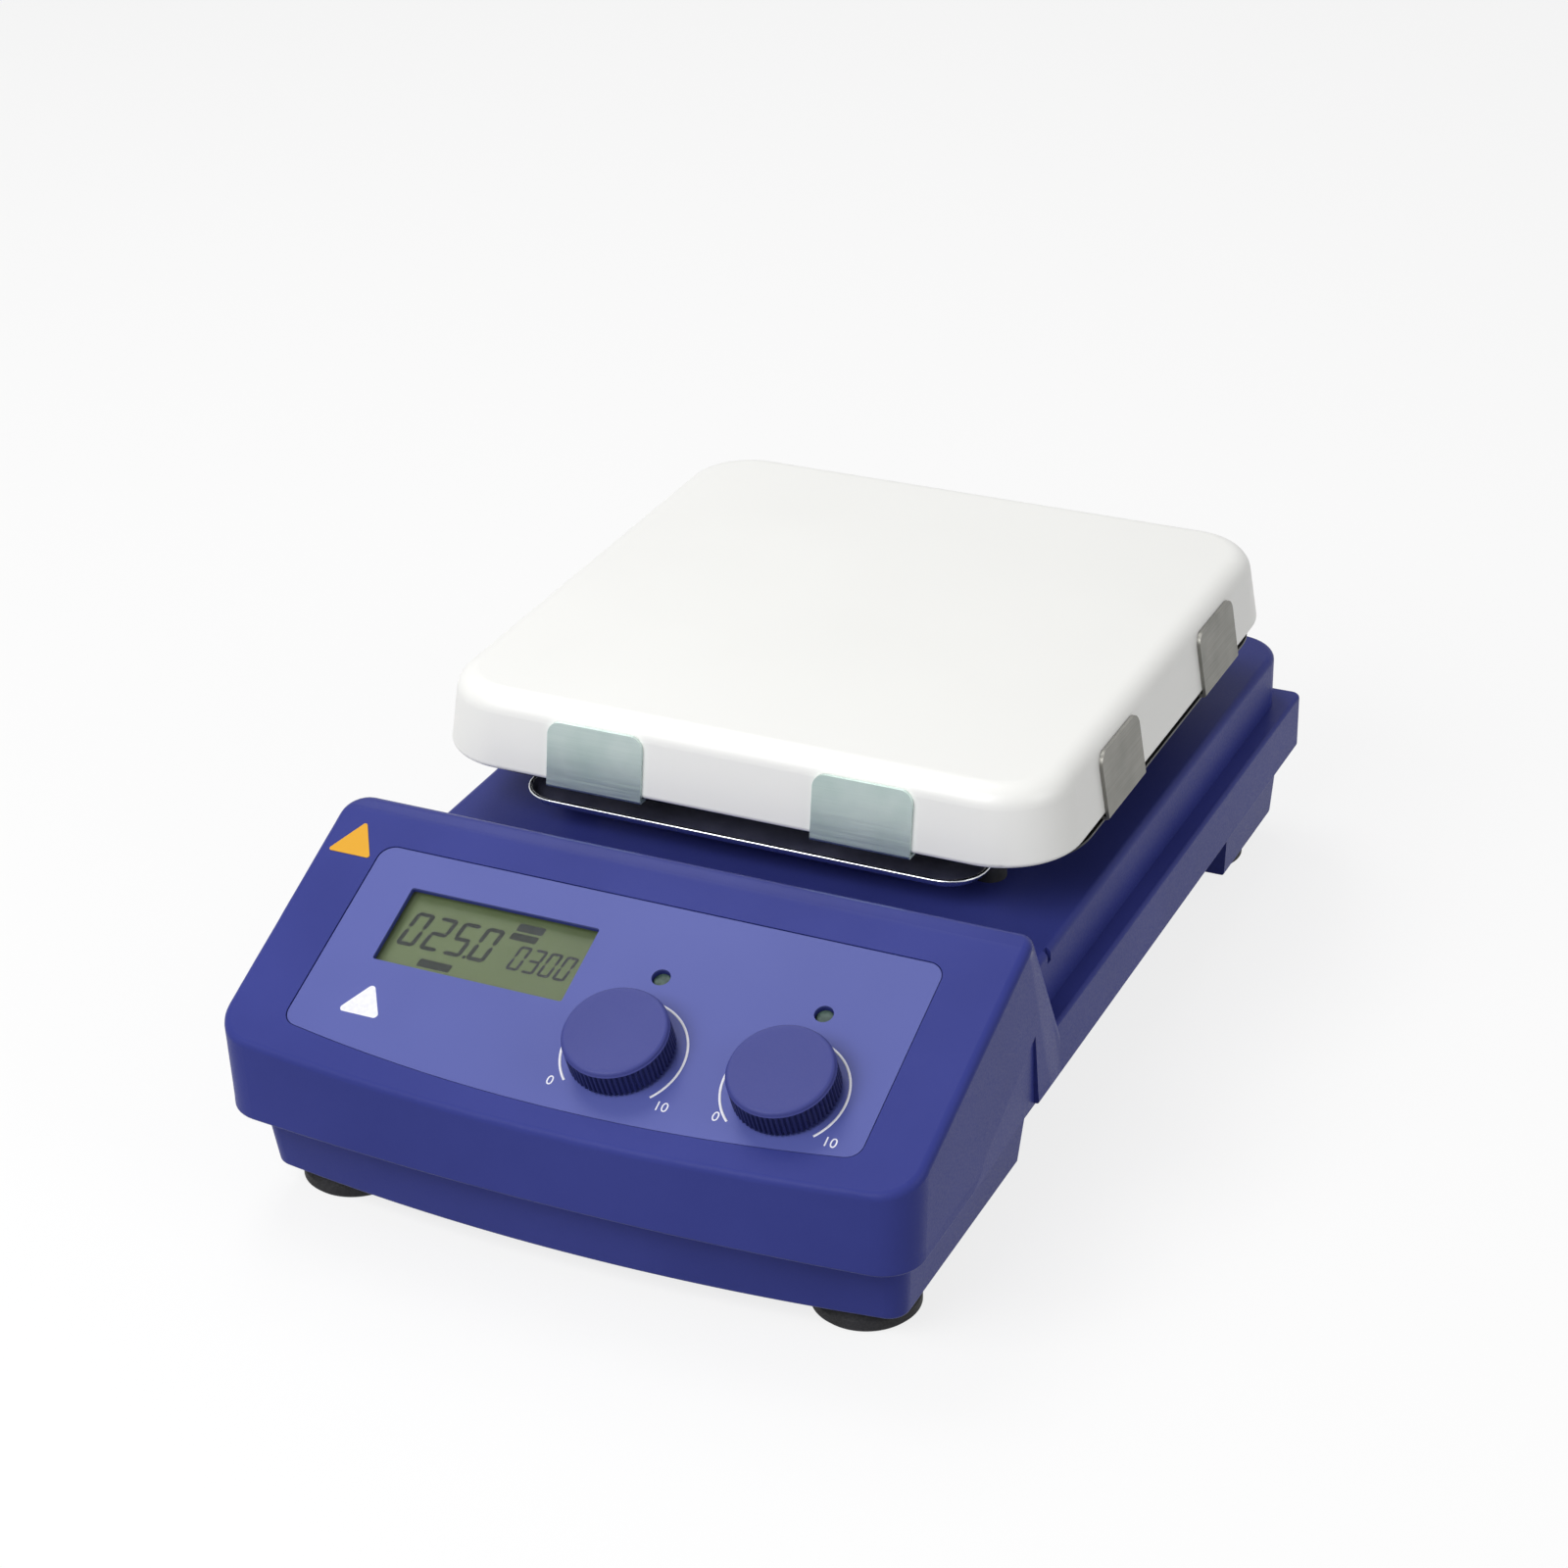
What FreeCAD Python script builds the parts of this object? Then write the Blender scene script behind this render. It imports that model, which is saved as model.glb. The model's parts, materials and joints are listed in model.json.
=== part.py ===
import FreeCAD
import Part
import math
import os

# Hotplate magnetic stirrer with a square white hot plate and a sloping control console.
# Millimetres. X is across, Y runs from the console to the rear, Z is up, the feet stand on Z = 0.

# Housing
body_width = 207.2
body_length = 332.0
front_bow = 5.8
housing_wall = 3.0
cover_bottom_z = 30.5
cover_lip = 3.0
ledge_z = 49.0
ledge_width = 6.1
deck_z = 66.5
deck_edge_round = 2.2
deck_corner_round = 15.0
ledge_edge_round = 1.2
skirt_round = 1.0
front_corner_round = 12.0
rear_corner_round = 3.2
ridge_z = 90.4
ridge_to_front = 87.5
panel_slope = 22.7
ridge_lean = 30.6
console_flare = 2.2
console_left_round = 8.0
console_right_round = 4.0
console_edge_round = 2.3
flank_depth = 1.7
flank_top_z = 61.0
flank_length = 52.0
flank_top_behind = 2.5
flank_low_behind = 9.8
notch_behind_ridge = 31.5
notch_width = 2.4
notch_depth = 1.6
notch_height = 4.0

# Base pan
pan_inset = 7.4
pan_rear_widening = 1.4
pan_side_draft = 0.085
pan_front_draft = 0.13
pan_front_inset = 10.5
pan_front_bow = 7.5
pan_rear_inset = 5.0
pan_wall = 2.5
pan_bottom_z = 8.2
pan_overlap = 6.0
pan_round = 1.0
pan_corner_round = 6.0
channel_from_front = 99.0
channel_from_rear = 56.5
channel_depth = 13.8
channel_lean = 1.8
vent_count = 8
vent_pitch = 9.0
vent_width = 3.2
vent_length = 26.0
vent_from_side = 40.2
vent_from_channel = 75.0

# Housing screws and feet
screw_from_side = 12.2
screw_from_channel_front = 21.0
screw_from_channel_rear = 17.5
screw_boss_radius = 5.0
screw_split_z = 34.0
screw_radius = 1.5
screw_head_radius = 2.8
screw_head_height = 1.8
screw_head_round_share = 0.4
screw_cross_share = 0.7
screw_cross_half = 0.3
screw_cross_floor_share = 0.6
screw_bite = 12.0
foot_from_side = 17.1
foot_from_front = 33.7
foot_from_rear = 30.0
foot_radius = 15.1
foot_neck_radius = 13.6
foot_tread_bevel = 1.0
foot_neck_share = 0.3
foot_shoulder_share = 0.55
foot_recess_radius = 5.5
foot_recess_depth = 3.6
foot_screw_radius = 2.0
foot_screw_head_radius = 4.0
foot_screw_head_height = 2.4
foot_boss_radius = 5.0
foot_boss_height = 8.0

# Control panel, measured down the slope from the ridge
overlay_side_margin = 17.3
overlay_top = 15.7
overlay_bottom = 87.0
overlay_bow = 7.0
overlay_recess = 0.8
overlay_thickness = 0.6
overlay_corner = 5.0
lcd_x = -41.4
lcd_down = 41.0
lcd_width = 59.0
lcd_height = 25.7
lcd_depth = 1.8
lcd_lens_thickness = 1.4
lcd_shoulder = 2.0
lcd_module_thickness = 7.0
lcd_module_margin = 4.5
lcd_lens_corner = 1.2
lcd_window_corner = 0.8
lcd_seat_corner = 1.5
lcd_module_corner = 1.5
heat_x = 11.7
stir_x = 59.8
knob_down = 64.9
knob_radius = 14.8
knob_height = 9.2
knob_gap = 0.5
knob_flutes = 60
knob_flute_depth = 0.55
knob_crown_height = 1.3
knob_hollow_radius = 12.4
knob_hollow_height = 4.6
knob_hub_radius = 5.6
knob_crown_round = 0.9
knob_flute_shape = (0.0, 0.34, 0.52, 0.82)
shaft_radius = 3.0
shaft_cover = 1.5
shaft_end_round = 0.4
pot_side = 17.0
pot_thickness = 9.6
pot_depth = 6.2
pot_bushing_radius = 4.5
pot_nut_flats = 12.0
pot_nut_height = 2.0
pot_corner = 1.5
pot_bushing_proud = 0.5
pot_collar_share = 0.42
pot_floor_share = 0.75
indicator_down = 39.2
indicator_radius = 2.6
indicator_recess = 0.9
indicator_edge_round = 0.5
board_depth = 16.0
board_thickness = 1.6
board_side_margin = 23.6
board_top = 22.0
board_bottom = 79.0
board_corner = 2.0
patch_gap = 1.7
patch_down = 17.8
patch_side = 14.0
patch_thickness = 0.2
patch_corner = 0.7

# Hot top
total_height = 112.0
plate_depth = 23.0
plate_behind_middle = 5.85
plate_half = 98.9
plate_corner = 24.0
plate_draft = 3.5
plate_edge_round = 7.0
plate_rim_round = 1.4
plate_wall = 4.0
plate_top_thickness = 5.0
heater_half = 78.0
heater_corner = 6.0
heater_thickness = 2.5
heater_groove_width = 6.0
heater_groove_depth = 1.0
heater_groove_pitch = 13.0
insulation_half = 80.0
insulation_relief = 3.0
insulation_corner = 8.0
base_sheet_thickness = 0.8
base_sheet_side_inset = 0.6
base_sheet_front_inset = 4.4
base_sheet_corner = 28.0
clip_offset = 41.8
clip_width = 30.4
clip_height = 18.7
clip_height_far = 13.5
clip_thickness = 1.0
clip_corner = 4.0
clip_foot = 15.0
clip_gap = 0.3
clip_screw_inset = 9.5
shield_half_x = 72.7
shield_half_y = 92.0
shield_corner = 12.0
shield_place = 0.41
shield_thickness = 1.0
shield_rim_height = 2.5
post_x = 66.5
post_y = 63.6
post_radius = 5.0
post_neck_radius = 3.2
post_screw_radius = 2.0
post_screw_head_radius = 3.8
post_screw_head_height = 2.5
post_screw_bite = 5.0
post_screw_relief = 1.0
probe_radius = 2.5
probe_head_radius = 5.0
probe_head_height = 3.0

# Stirring drive under the plate
drive_opening_radius = 44.0
carrier_radius = 40.0
carrier_width = 26.0
carrier_thickness = 4.0
magnet_gap = 2.0
carrier_hub_radius = 8.0
carrier_hub_drop = 2.0
magnet_radius = 10.0
magnet_height = 6.0
magnet_offset = 28.0
magnet_edge_round = 0.5
hub_gap_share = 0.1
bracket_corner = 6.0
bracket_bore_relief = 1.0
bracket_thickness = 2.0
bracket_half = 55.0
bracket_screw_inset = 7.0
bracket_screw_end = 0.5
bracket_boss_radius = 5.0
stator_radius = 30.0
stator_height = 22.0
stator_edge_round = 2.0
rotor_radius = 20.0
rotor_gap = 0.6
bearing_radius = 8.0
bearing_height = 5.0
motor_shaft_radius = 3.0
motor_shaft_end = 1.0
running_fit = 0.04

# Power parts inside
power_board_side_margin = 26.2
power_board_from_channel = 9.0
power_board_to_stator = 11.6
power_board_z = 30.0
board_post_radius = 3.5
relay_width = 18.0
relay_depth = 12.0
relay_height = 14.0
relay_from_front = 12.0
relay_from_side = 12.0
terminal_left = -20.0
terminal_width = 28.0
terminal_depth = 10.0
terminal_height = 10.0
terminal_from_rear = 2.0
can_radius = 5.5
can_height = 18.0
can_pitch = 14.0
can_left = -24.0
can_from_front = 20.0
heatsink_from_side = 32.0
heatsink_from_front = 30.0
heatsink_length = 44.0
heatsink_width = 24.0
heatsink_height = 22.0
heatsink_fins = 7
heatsink_base = 3.0
heatsink_fin = 1.4
transformer_from_foot = 26.4
transformer_to_wall = 6.5
transformer_width = 42.0
transformer_depth = 30.0
transformer_height = 29.0
transformer_coil_width = 26.0
transformer_coil_bulge = 3.5
transformer_coil_round = 3.0

# Rear panel and what it carries
window_from_rod = 13.5
window_from_side = 25.6
window_bottom_z = 35.0
window_top_z = 62.5
panel_thickness = 2.0
panel_lap = 0.8
panel_side_lap = 3.0
bezel_thickness = 2.0
inlet_from_window = 36.0
inlet_flange_width = 50.0
inlet_body_width = 28.0
inlet_body_depth = 23.0
inlet_cavity_width = 24.4
inlet_cavity_height = 16.5
inlet_cavity_depth = 15.8
inlet_wall = 1.0
inlet_chamfer = 4.0
inlet_flange_corner = 3.0
inlet_screw_inset = 5.0
inlet_screw_radius = 1.7
blade_width = 2.0
blade_height = 4.0
blade_length = 10.0
blade_spacing = 7.0
blade_shift = 1.5
drawer_width = 24.0
drawer_height = 7.2
drawer_length = 19.0
drawer_proud = 0.8
drawer_front = 1.6
drawer_wall = 1.0
drawer_grip_half = 5.0
drawer_grip_depth = 0.5
drawer_grip_height = 1.2
fuse_radius = 2.6
fuse_length = 20.0
fuse_spacing = 7.4
rocker_from_sensor = 32.0
rocker_opening_x = 11.6
rocker_radius = 9.0
rocker_front = 4.2
rocker_back = 2.5
rocker_tilt = 10.0
rocker_frame_width = 17.0
rocker_frame_height = 25.0
rocker_body_depth = 15.0
rocker_pivot_inset = 3.0
rocker_pin_radius = 1.2
rocker_side_wall = 1.6
rocker_pin_share = 0.75
rocker_room_share = 0.75
rocker_frame_corner = 1.5
rocker_tab_half = 2.4
rocker_tab_length = 6.0
rocker_tab_thickness = 0.8
rocker_tab_drop = 7.0
sensor_from_window = 22.0
sensor_flange_radius = 10.5
sensor_barrel_radius = 8.2
sensor_bore_radius = 6.6
sensor_proud = 2.8
sensor_depth = 8.6
sensor_back = 4.0
contact_radius = 0.6
contact_circle = 4.6
contact_count = 5
contact_spacing = 45
contact_length = 5.5
rod_from_side = 20.1
rod_z = 48.0
rod_thread_radius = 4.25
rod_thread_length = 14.0
rod_bushing_radius = 7.0
rod_flange_radius = 9.0
rod_flange_thickness = 1.6
rod_bushing_end = 4.0

# Clearances
clearance = 0.3
slide_clearance = 0.2
seat_gap = 0.1
join_lap = 0.5
join_bite = 0.1
bend_round_share = 0.9
solder_tail = 3.0

# Places worked out from the sizes above
half_width = body_width / 2
front_y = -body_length / 2
rear_y = body_length / 2
ridge_y = front_y + ridge_to_front
slope = math.radians(panel_slope)
deck_half_width = half_width - ledge_width
console_rear_y = ridge_y + (ridge_z - ledge_z) * math.tan(math.radians(ridge_lean))
deck_inner_z = deck_z - housing_wall
lip_top_z = cover_bottom_z + cover_lip
console_half_width = half_width + console_flare
flank_top_y = ridge_y + flank_top_behind
flank_low_y = ridge_y + flank_low_behind
notch_y = ridge_y + notch_behind_ridge
pan_half_width = half_width - pan_inset
pan_front_y = front_y + pan_front_inset
pan_rear_y = rear_y - pan_rear_inset
pan_top_z = lip_top_z + pan_overlap
channel_front_y = front_y + channel_from_front
channel_rear_y = rear_y - channel_from_rear
channel_z = pan_bottom_z + channel_depth
channel_floor_z = channel_z + pan_wall
vent_x = pan_half_width - vent_from_side
vent_y = channel_front_y + vent_from_channel
screw_x = pan_half_width - screw_from_side
screw_front_y = channel_front_y + screw_from_channel_front
screw_rear_y = channel_rear_y - screw_from_channel_rear
foot_x = pan_half_width - foot_from_side
foot_front_y = front_y + foot_from_front
foot_rear_y = rear_y - foot_from_rear
overlay_half_width = half_width - overlay_side_margin
board_half_width = half_width - board_side_margin
patch_x = -overlay_half_width - patch_gap - patch_side / 2
plate_rim_z = total_height - plate_depth
plate_y = (ridge_y + rear_y) / 2 + plate_behind_middle
base_sheet_top_z = plate_rim_z - clearance - clip_thickness
base_sheet_z = base_sheet_top_z - base_sheet_thickness
shield_sheet_z = deck_z + shield_place * (base_sheet_z - deck_z)
carrier_z = shield_sheet_z - magnet_gap - magnet_height - carrier_thickness
bracket_z = carrier_z - carrier_hub_drop - hub_gap_share * (base_sheet_z - deck_z) - bracket_thickness
bracket_screw_offset = bracket_half - bracket_screw_inset
power_board_half_x = pan_half_width - power_board_side_margin
power_board_front_y = channel_front_y + power_board_from_channel
power_board_rear_y = plate_y - stator_radius - power_board_to_stator
heatsink_x = power_board_half_x - heatsink_from_side
heatsink_y = power_board_front_y + heatsink_from_front
transformer_x = foot_x - transformer_from_foot
transformer_y = (pan_rear_y - pan_wall - transformer_to_wall - transformer_depth / 2
                 - transformer_coil_bulge)
rod_x = rod_from_side - half_width
window_left = rod_x + window_from_rod
window_right = half_width - window_from_side
inlet_x = window_left + inlet_from_window
sensor_x = window_right - sensor_from_window
rocker_x = sensor_x - rocker_from_sensor
plate_inner_z = total_height - plate_top_thickness
heater_z = plate_inner_z - seat_gap - heater_thickness
window_mid_z = (window_bottom_z + window_top_z) / 2
window_inner_y = rear_y - housing_wall
panel_face_y = window_inner_y - slide_clearance
panel_back_y = panel_face_y - panel_thickness
bezel_y = panel_face_y + bezel_thickness
knobs = {"heat": heat_x, "stir": stir_x}


def vec(x, y, z):
    return FreeCAD.Vector(x, y, z)


def box(x0, x1, y0, y1, z0, z1):
    return Part.makeBox(x1 - x0, y1 - y0, z1 - z0, vec(x0, y0, z0))


def centred_box(x, y, half_x, half_y, z0, z1):
    return box(x - half_x, x + half_x, y - half_y, y + half_y, z0, z1)


def disc(x, y, radius, z0, z1):
    return Part.makeCylinder(radius, z1 - z0, vec(x, y, z0))


def disc_along_y(x, z, radius, y0, y1):
    return Part.makeCylinder(radius, y1 - y0, vec(x, y0, z), vec(0, 1, 0))


def middle(edge):
    return edge.valueAt((edge.FirstParameter + edge.LastParameter) / 2)


def along(edge, direction):
    """True for a straight edge that runs along the direction."""
    if len(edge.Vertexes) != 2:
        return False
    run = edge.Vertexes[1].Point.sub(edge.Vertexes[0].Point)
    straight = abs(run.Length - edge.Length) < 1e-4
    return straight and abs(abs(run.dot(direction)) - run.Length) < 1e-4 * run.Length


def round_where(shape, radius, test):
    return shape.makeFillet(radius, [edge for edge in shape.Edges if test(edge)])


def round_uprights(shape, radius, test=lambda point: True):
    return round_where(shape, radius, lambda edge: along(edge, vec(0, 0, 1)) and test(middle(edge)))


def round_level(shape, radius, z):
    """Round every edge that lies wholly in the level plane at z."""
    return round_where(shape, radius, lambda edge: all(abs(p.z - z) < 1e-4 for p in edge.discretize(5)))


def pad(face_wire, z0, z1):
    face = Part.Face(face_wire)
    face.translate(vec(0, 0, z0))
    return face.extrude(vec(0, 0, z1 - z0))


def bowed_plan(half, front, bow, rear, widening=0.0):
    """Outline at z = 0 whose front edge bows forward and whose sides may widen to the rear."""
    wide = half + widening
    front_arc = Part.Arc(vec(-half, front + bow, 0), vec(0, front, 0), vec(half, front + bow, 0)).toShape()
    right = Part.makeLine(vec(half, front + bow, 0), vec(wide, rear, 0))
    back = Part.makeLine(vec(wide, rear, 0), vec(-wide, rear, 0))
    left = Part.makeLine(vec(-wide, rear, 0), vec(-half, front + bow, 0))
    return Part.Wire([front_arc, right, back, left])


def rounded_plan(outline, corner, z):
    """The outline with round corners, as a wire at height z."""
    rounded = round_uprights(pad(outline, z, z + 1), corner)
    level = [face for face in rounded.Faces if abs(face.CenterOfMass.z - z) < 1e-4]
    return level[0].OuterWire


def rounded_square(cx, cy, half_x, half_y, corner, z):
    """Wire of a rectangle with round corners at height z."""
    return rounded_plan(Part.makePolygon([
        vec(cx - half_x, cy - half_y, 0),
        vec(cx + half_x, cy - half_y, 0),
        vec(cx + half_x, cy + half_y, 0),
        vec(cx - half_x, cy + half_y, 0),
        vec(cx - half_x, cy - half_y, 0),
    ]), corner, z)


def rounded_block(cx, cy, half_x, half_y, corner, z0, z1):
    return pad(rounded_square(cx, cy, half_x, half_y, corner, 0), z0, z1)


def tapered_block(cx, cy, half_low, half_high, corner_low, corner_high, z0, z1):
    low = rounded_square(cx, cy, half_low, half_low, corner_low, z0)
    high = rounded_square(cx, cy, half_high, half_high, corner_high, z1)
    return Part.makeLoft([low, high], True, True)


def hexagon(flats, z0, z1):
    corner = flats / 2 / math.cos(math.radians(30))
    points = [vec(corner * math.cos(math.radians(60 * i)), corner * math.sin(math.radians(60 * i)), 0)
              for i in range(7)]
    return pad(Part.makePolygon(points), z0, z1)


def on_panel(shape):
    """Move a shape from the panel's own frame: X across, Y up the slope, Z out of it, ridge at 0."""
    placed = shape.copy()
    turn = FreeCAD.Rotation(vec(1, 0, 0), panel_slope)
    placed.Placement = FreeCAD.Placement(vec(0, ridge_y, ridge_z), turn).multiply(placed.Placement)
    return placed


def above_slope(depth):
    """Everything above the console's slope, less a depth below it."""
    reach = body_length
    return on_panel(box(-reach, reach, -reach, reach, -depth, reach))


def behind_ridge(depth):
    """Everything behind the console's leaning rear face, less a depth in front of it."""
    reach = body_length
    block = box(-reach, reach, -reach, reach, -depth, reach)
    turn = FreeCAD.Rotation(vec(1, 0, 0), ridge_lean - 90)
    block.Placement = FreeCAD.Placement(vec(0, ridge_y, ridge_z), turn)
    return block


def plan_with_round_front(half, front, rear, corner, z):
    """Wire of a bowed plan at height z, with only its two front corners round."""
    block = pad(bowed_plan(half, front, front_bow, rear), z, z + 1)
    block = round_uprights(block, corner, lambda point: point.y < ridge_y)
    level = [face for face in block.Faces if abs(face.CenterOfMass.z - z) < 1e-4]
    return level[0].OuterWire


def on_slope(point):
    normal = vec(0, -math.sin(slope), math.cos(slope))
    return abs(point.sub(vec(0, ridge_y, ridge_z)).dot(normal)) < 1e-3


def on_lean(point):
    lean = math.radians(ridge_lean)
    normal = vec(0, math.cos(lean), math.sin(lean))
    return abs(point.sub(vec(0, ridge_y, ridge_z)).dot(normal)) < 1e-3


def console_block(inset):
    """The sloping front block of the housing, inset from the outside by a wall."""
    low = lip_top_z + (0 if inset else 1)
    corner = front_corner_round - inset
    ends = [(half_width - inset, low), (console_half_width - inset, ridge_z + 1)]
    wires = [plan_with_round_front(half, front_y + inset, console_rear_y - inset, corner, z)
             for half, z in ends]
    block = Part.makeLoft(wires, True, True)
    block = block.cut(above_slope(inset))
    return block.cut(behind_ridge(inset))


def round_ridge_ends(block):
    """Round the two edges where the console's leaning rear face meets its sides."""
    for side, radius in ((-1, console_left_round), (1, console_right_round)):
        block = round_where(block, radius, lambda edge: side * middle(edge).x > half_width - 1
                            and not on_slope(middle(edge)) and all(on_lean(p) for p in edge.discretize(5)))
    return block


def flank_facet(side):
    """Shallow three-cornered facet low on the console's flank, which leaves the rear skirt standing proud."""
    outer = side * (half_width + 1)
    low = cover_bottom_z - 1
    front = vec(side * half_width, flank_low_y - flank_length, low)
    inner = vec(side * (half_width - flank_depth), flank_low_y, low)
    beyond = vec(outer + side * flank_depth, flank_low_y, low)
    top = vec(side * (half_width + 0.5), flank_top_y, flank_top_z)
    base = Part.makePolygon([front, inner, beyond, front])
    return Part.makeLoft([Part.Vertex(top), base], True, True)


def outer_housing():
    base = pad(bowed_plan(half_width, front_y, front_bow, rear_y), cover_bottom_z, ledge_z)
    base = round_uprights(base, front_corner_round, lambda point: point.y < 0)
    base = round_uprights(base, rear_corner_round, lambda point: point.y > 0)
    base = round_level(base, skirt_round, cover_bottom_z)
    base = round_level(base, ledge_edge_round, ledge_z)
    console = round_ridge_ends(console_block(0))
    console = round_where(console, console_edge_round,
                          lambda edge: all(on_slope(p) for p in edge.discretize(5)))
    deck_front_y = ridge_y + housing_wall + 1
    deck = box(-deck_half_width, deck_half_width, deck_front_y, rear_y,
               (cover_bottom_z + ledge_z) / 2, deck_z)
    deck = round_uprights(deck, deck_corner_round, lambda point: point.y > 0)
    deck = round_where(deck, deck_edge_round, lambda edge: middle(edge).y > deck_front_y + 1
                       and all(abs(p.z - deck_z) < 1e-4 for p in edge.discretize(5)))
    housing = base.fuse([console, deck]).removeSplitter()
    return housing.cut([flank_facet(side) for side in (-1, 1)])


def inner_rooms():
    """The hollows of the housing, one solid each."""
    wall = housing_wall
    lip = pad(rounded_plan(pan_outline(lip_top_z, clearance), pan_corner_round, 0), 0, lip_top_z)
    room = bowed_plan(half_width - wall, front_y + wall, front_bow, rear_y - wall)
    room = pad(room, lip_top_z, ledge_z - wall)
    room = round_uprights(room, front_corner_round - wall, lambda point: point.y < 0)
    room = round_uprights(room, max(rear_corner_round - wall, 0.5), lambda point: point.y > 0)
    deck = box(wall - deck_half_width, deck_half_width - wall, ridge_y + 2 * wall + 1,
               rear_y - wall, lip_top_z, deck_inner_z)
    deck = round_uprights(deck, deck_corner_round - wall, lambda point: point.y > 0)
    return [lip, room, deck, console_block(wall)]


def screw_places():
    return [(side * screw_x, y) for side in (-1, 1) for y in (screw_front_y, screw_rear_y)]


def post_places():
    return [(sx * post_x, plate_y + sy * post_y) for sx in (-1, 1) for sy in (-1, 1)]


def bracket_screw_places():
    offset = bracket_screw_offset
    return [(sx * offset, plate_y + sy * offset) for sx in (-1, 1) for sy in (-1, 1)]


def overlay_outline(inset, top_z, depth):
    """The panel recess or overlay as a solid in the panel's frame."""
    half = overlay_half_width - inset
    upper = -overlay_top - inset
    lower_side = -(overlay_bottom - overlay_bow) + inset
    lower_mid = -overlay_bottom + inset
    arc = Part.Arc(vec(-half, lower_side, 0), vec(0, lower_mid, 0), vec(half, lower_side, 0)).toShape()
    right = Part.makeLine(vec(half, lower_side, 0), vec(half, upper, 0))
    top = Part.makeLine(vec(half, upper, 0), vec(-half, upper, 0))
    left = Part.makeLine(vec(-half, upper, 0), vec(-half, lower_side, 0))
    block = pad(Part.Wire([arc, right, top, left]), top_z - depth, top_z)
    return round_uprights(block, overlay_corner - inset)


def lcd_block(grow, corner, z0, z1):
    half_x = lcd_width / 2 + grow
    half_y = lcd_height / 2 + grow
    return rounded_block(lcd_x, -lcd_down, half_x, half_y, corner, z0, z1)


def panel_holes(overlay_only):
    """Tools that cut the display window, shaft holes and indicator holes, in the panel's frame."""
    deep = housing_wall + 1
    tools = [lcd_block(0, lcd_window_corner, -deep, 1)]
    for x in knobs.values():
        tools.append(disc(x, -knob_down, pot_bushing_radius + clearance, -deep, 1))
        tools.append(disc(x, -indicator_down, indicator_radius + seat_gap, -deep, 1))
    if not overlay_only:
        tools.append(lcd_block(lcd_shoulder, lcd_seat_corner, -deep, -lcd_depth))
    return tools


def housing_cover():
    cover = outer_housing()
    for room in inner_rooms():
        cover = cover.cut(room)
    bosses = [disc(x, y, screw_boss_radius, screw_split_z, deck_inner_z + 1) for x, y in screw_places()]
    bosses += [disc(x, y, bracket_boss_radius, bracket_z + bracket_thickness, deck_inner_z + 1)
               for x, y in bracket_screw_places()]
    cover = cover.Solids[0].fuse(bosses)
    tools = [on_panel(tool) for tool in panel_holes(False)]
    tools.append(on_panel(overlay_outline(0, 1, overlay_recess + 1)))
    tools.append(disc(0, plate_y, drive_opening_radius, deck_inner_z - 1, deck_z + 1))
    for side in (-1, 1):
        tools.append(centred_box(side * deck_half_width, notch_y, notch_depth, notch_width / 2,
                                 deck_z - notch_height, deck_z + 1))
    for x, y in post_places():
        tools.append(disc(x, y, post_screw_radius + seat_gap, deck_inner_z - 1, deck_z + 1))
    for x, y in screw_places() + bracket_screw_places():
        tools.append(disc(x, y, screw_radius, cover_bottom_z, deck_z - housing_wall))
    tools.append(box(window_left, window_right, window_inner_y - 1, rear_y + 1,
                     window_bottom_z, window_top_z))
    rod_back = rear_y - rod_thread_length - rod_bushing_end
    tools.append(disc_along_y(rod_x, rod_z, rod_bushing_radius, rod_back, rear_y + 1))
    tools.append(disc_along_y(rod_x, rod_z, rod_flange_radius, rear_y - rod_flange_thickness, rear_y + 1))
    return cover.cut(tools)


def channel_profile(offset, half):
    """The raised middle of the underside, as a prism across the pan."""
    front = channel_front_y - offset
    rear = channel_rear_y + offset
    top = channel_z + offset
    points = [
        vec(-half, front - channel_lean, 0),
        vec(-half, front + channel_lean, top),
        vec(-half, rear - channel_lean, top),
        vec(-half, rear + channel_lean, 0),
        vec(-half, front - channel_lean, 0),
    ]
    return Part.Face(Part.makePolygon(points)).extrude(vec(2 * half, 0, 0))


def pan_outline(z, grow):
    """Plan of the drafted pan at height z, grown outward, in the plane z = 0."""
    rise = z - pan_bottom_z
    half = pan_half_width + pan_side_draft * rise + grow
    front = pan_front_y - pan_front_draft * rise - grow
    return bowed_plan(half, front, pan_front_bow, pan_rear_y + grow, pan_rear_widening)


def drafted_pan(grow, corner, z0, z1):
    return Part.makeLoft([rounded_plan(pan_outline(z, grow), corner, z) for z in (z0, z1)], True, True)


def foot_places():
    return [(side * foot_x, y) for y in (foot_front_y, foot_rear_y) for side in (-1, 1)]


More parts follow.
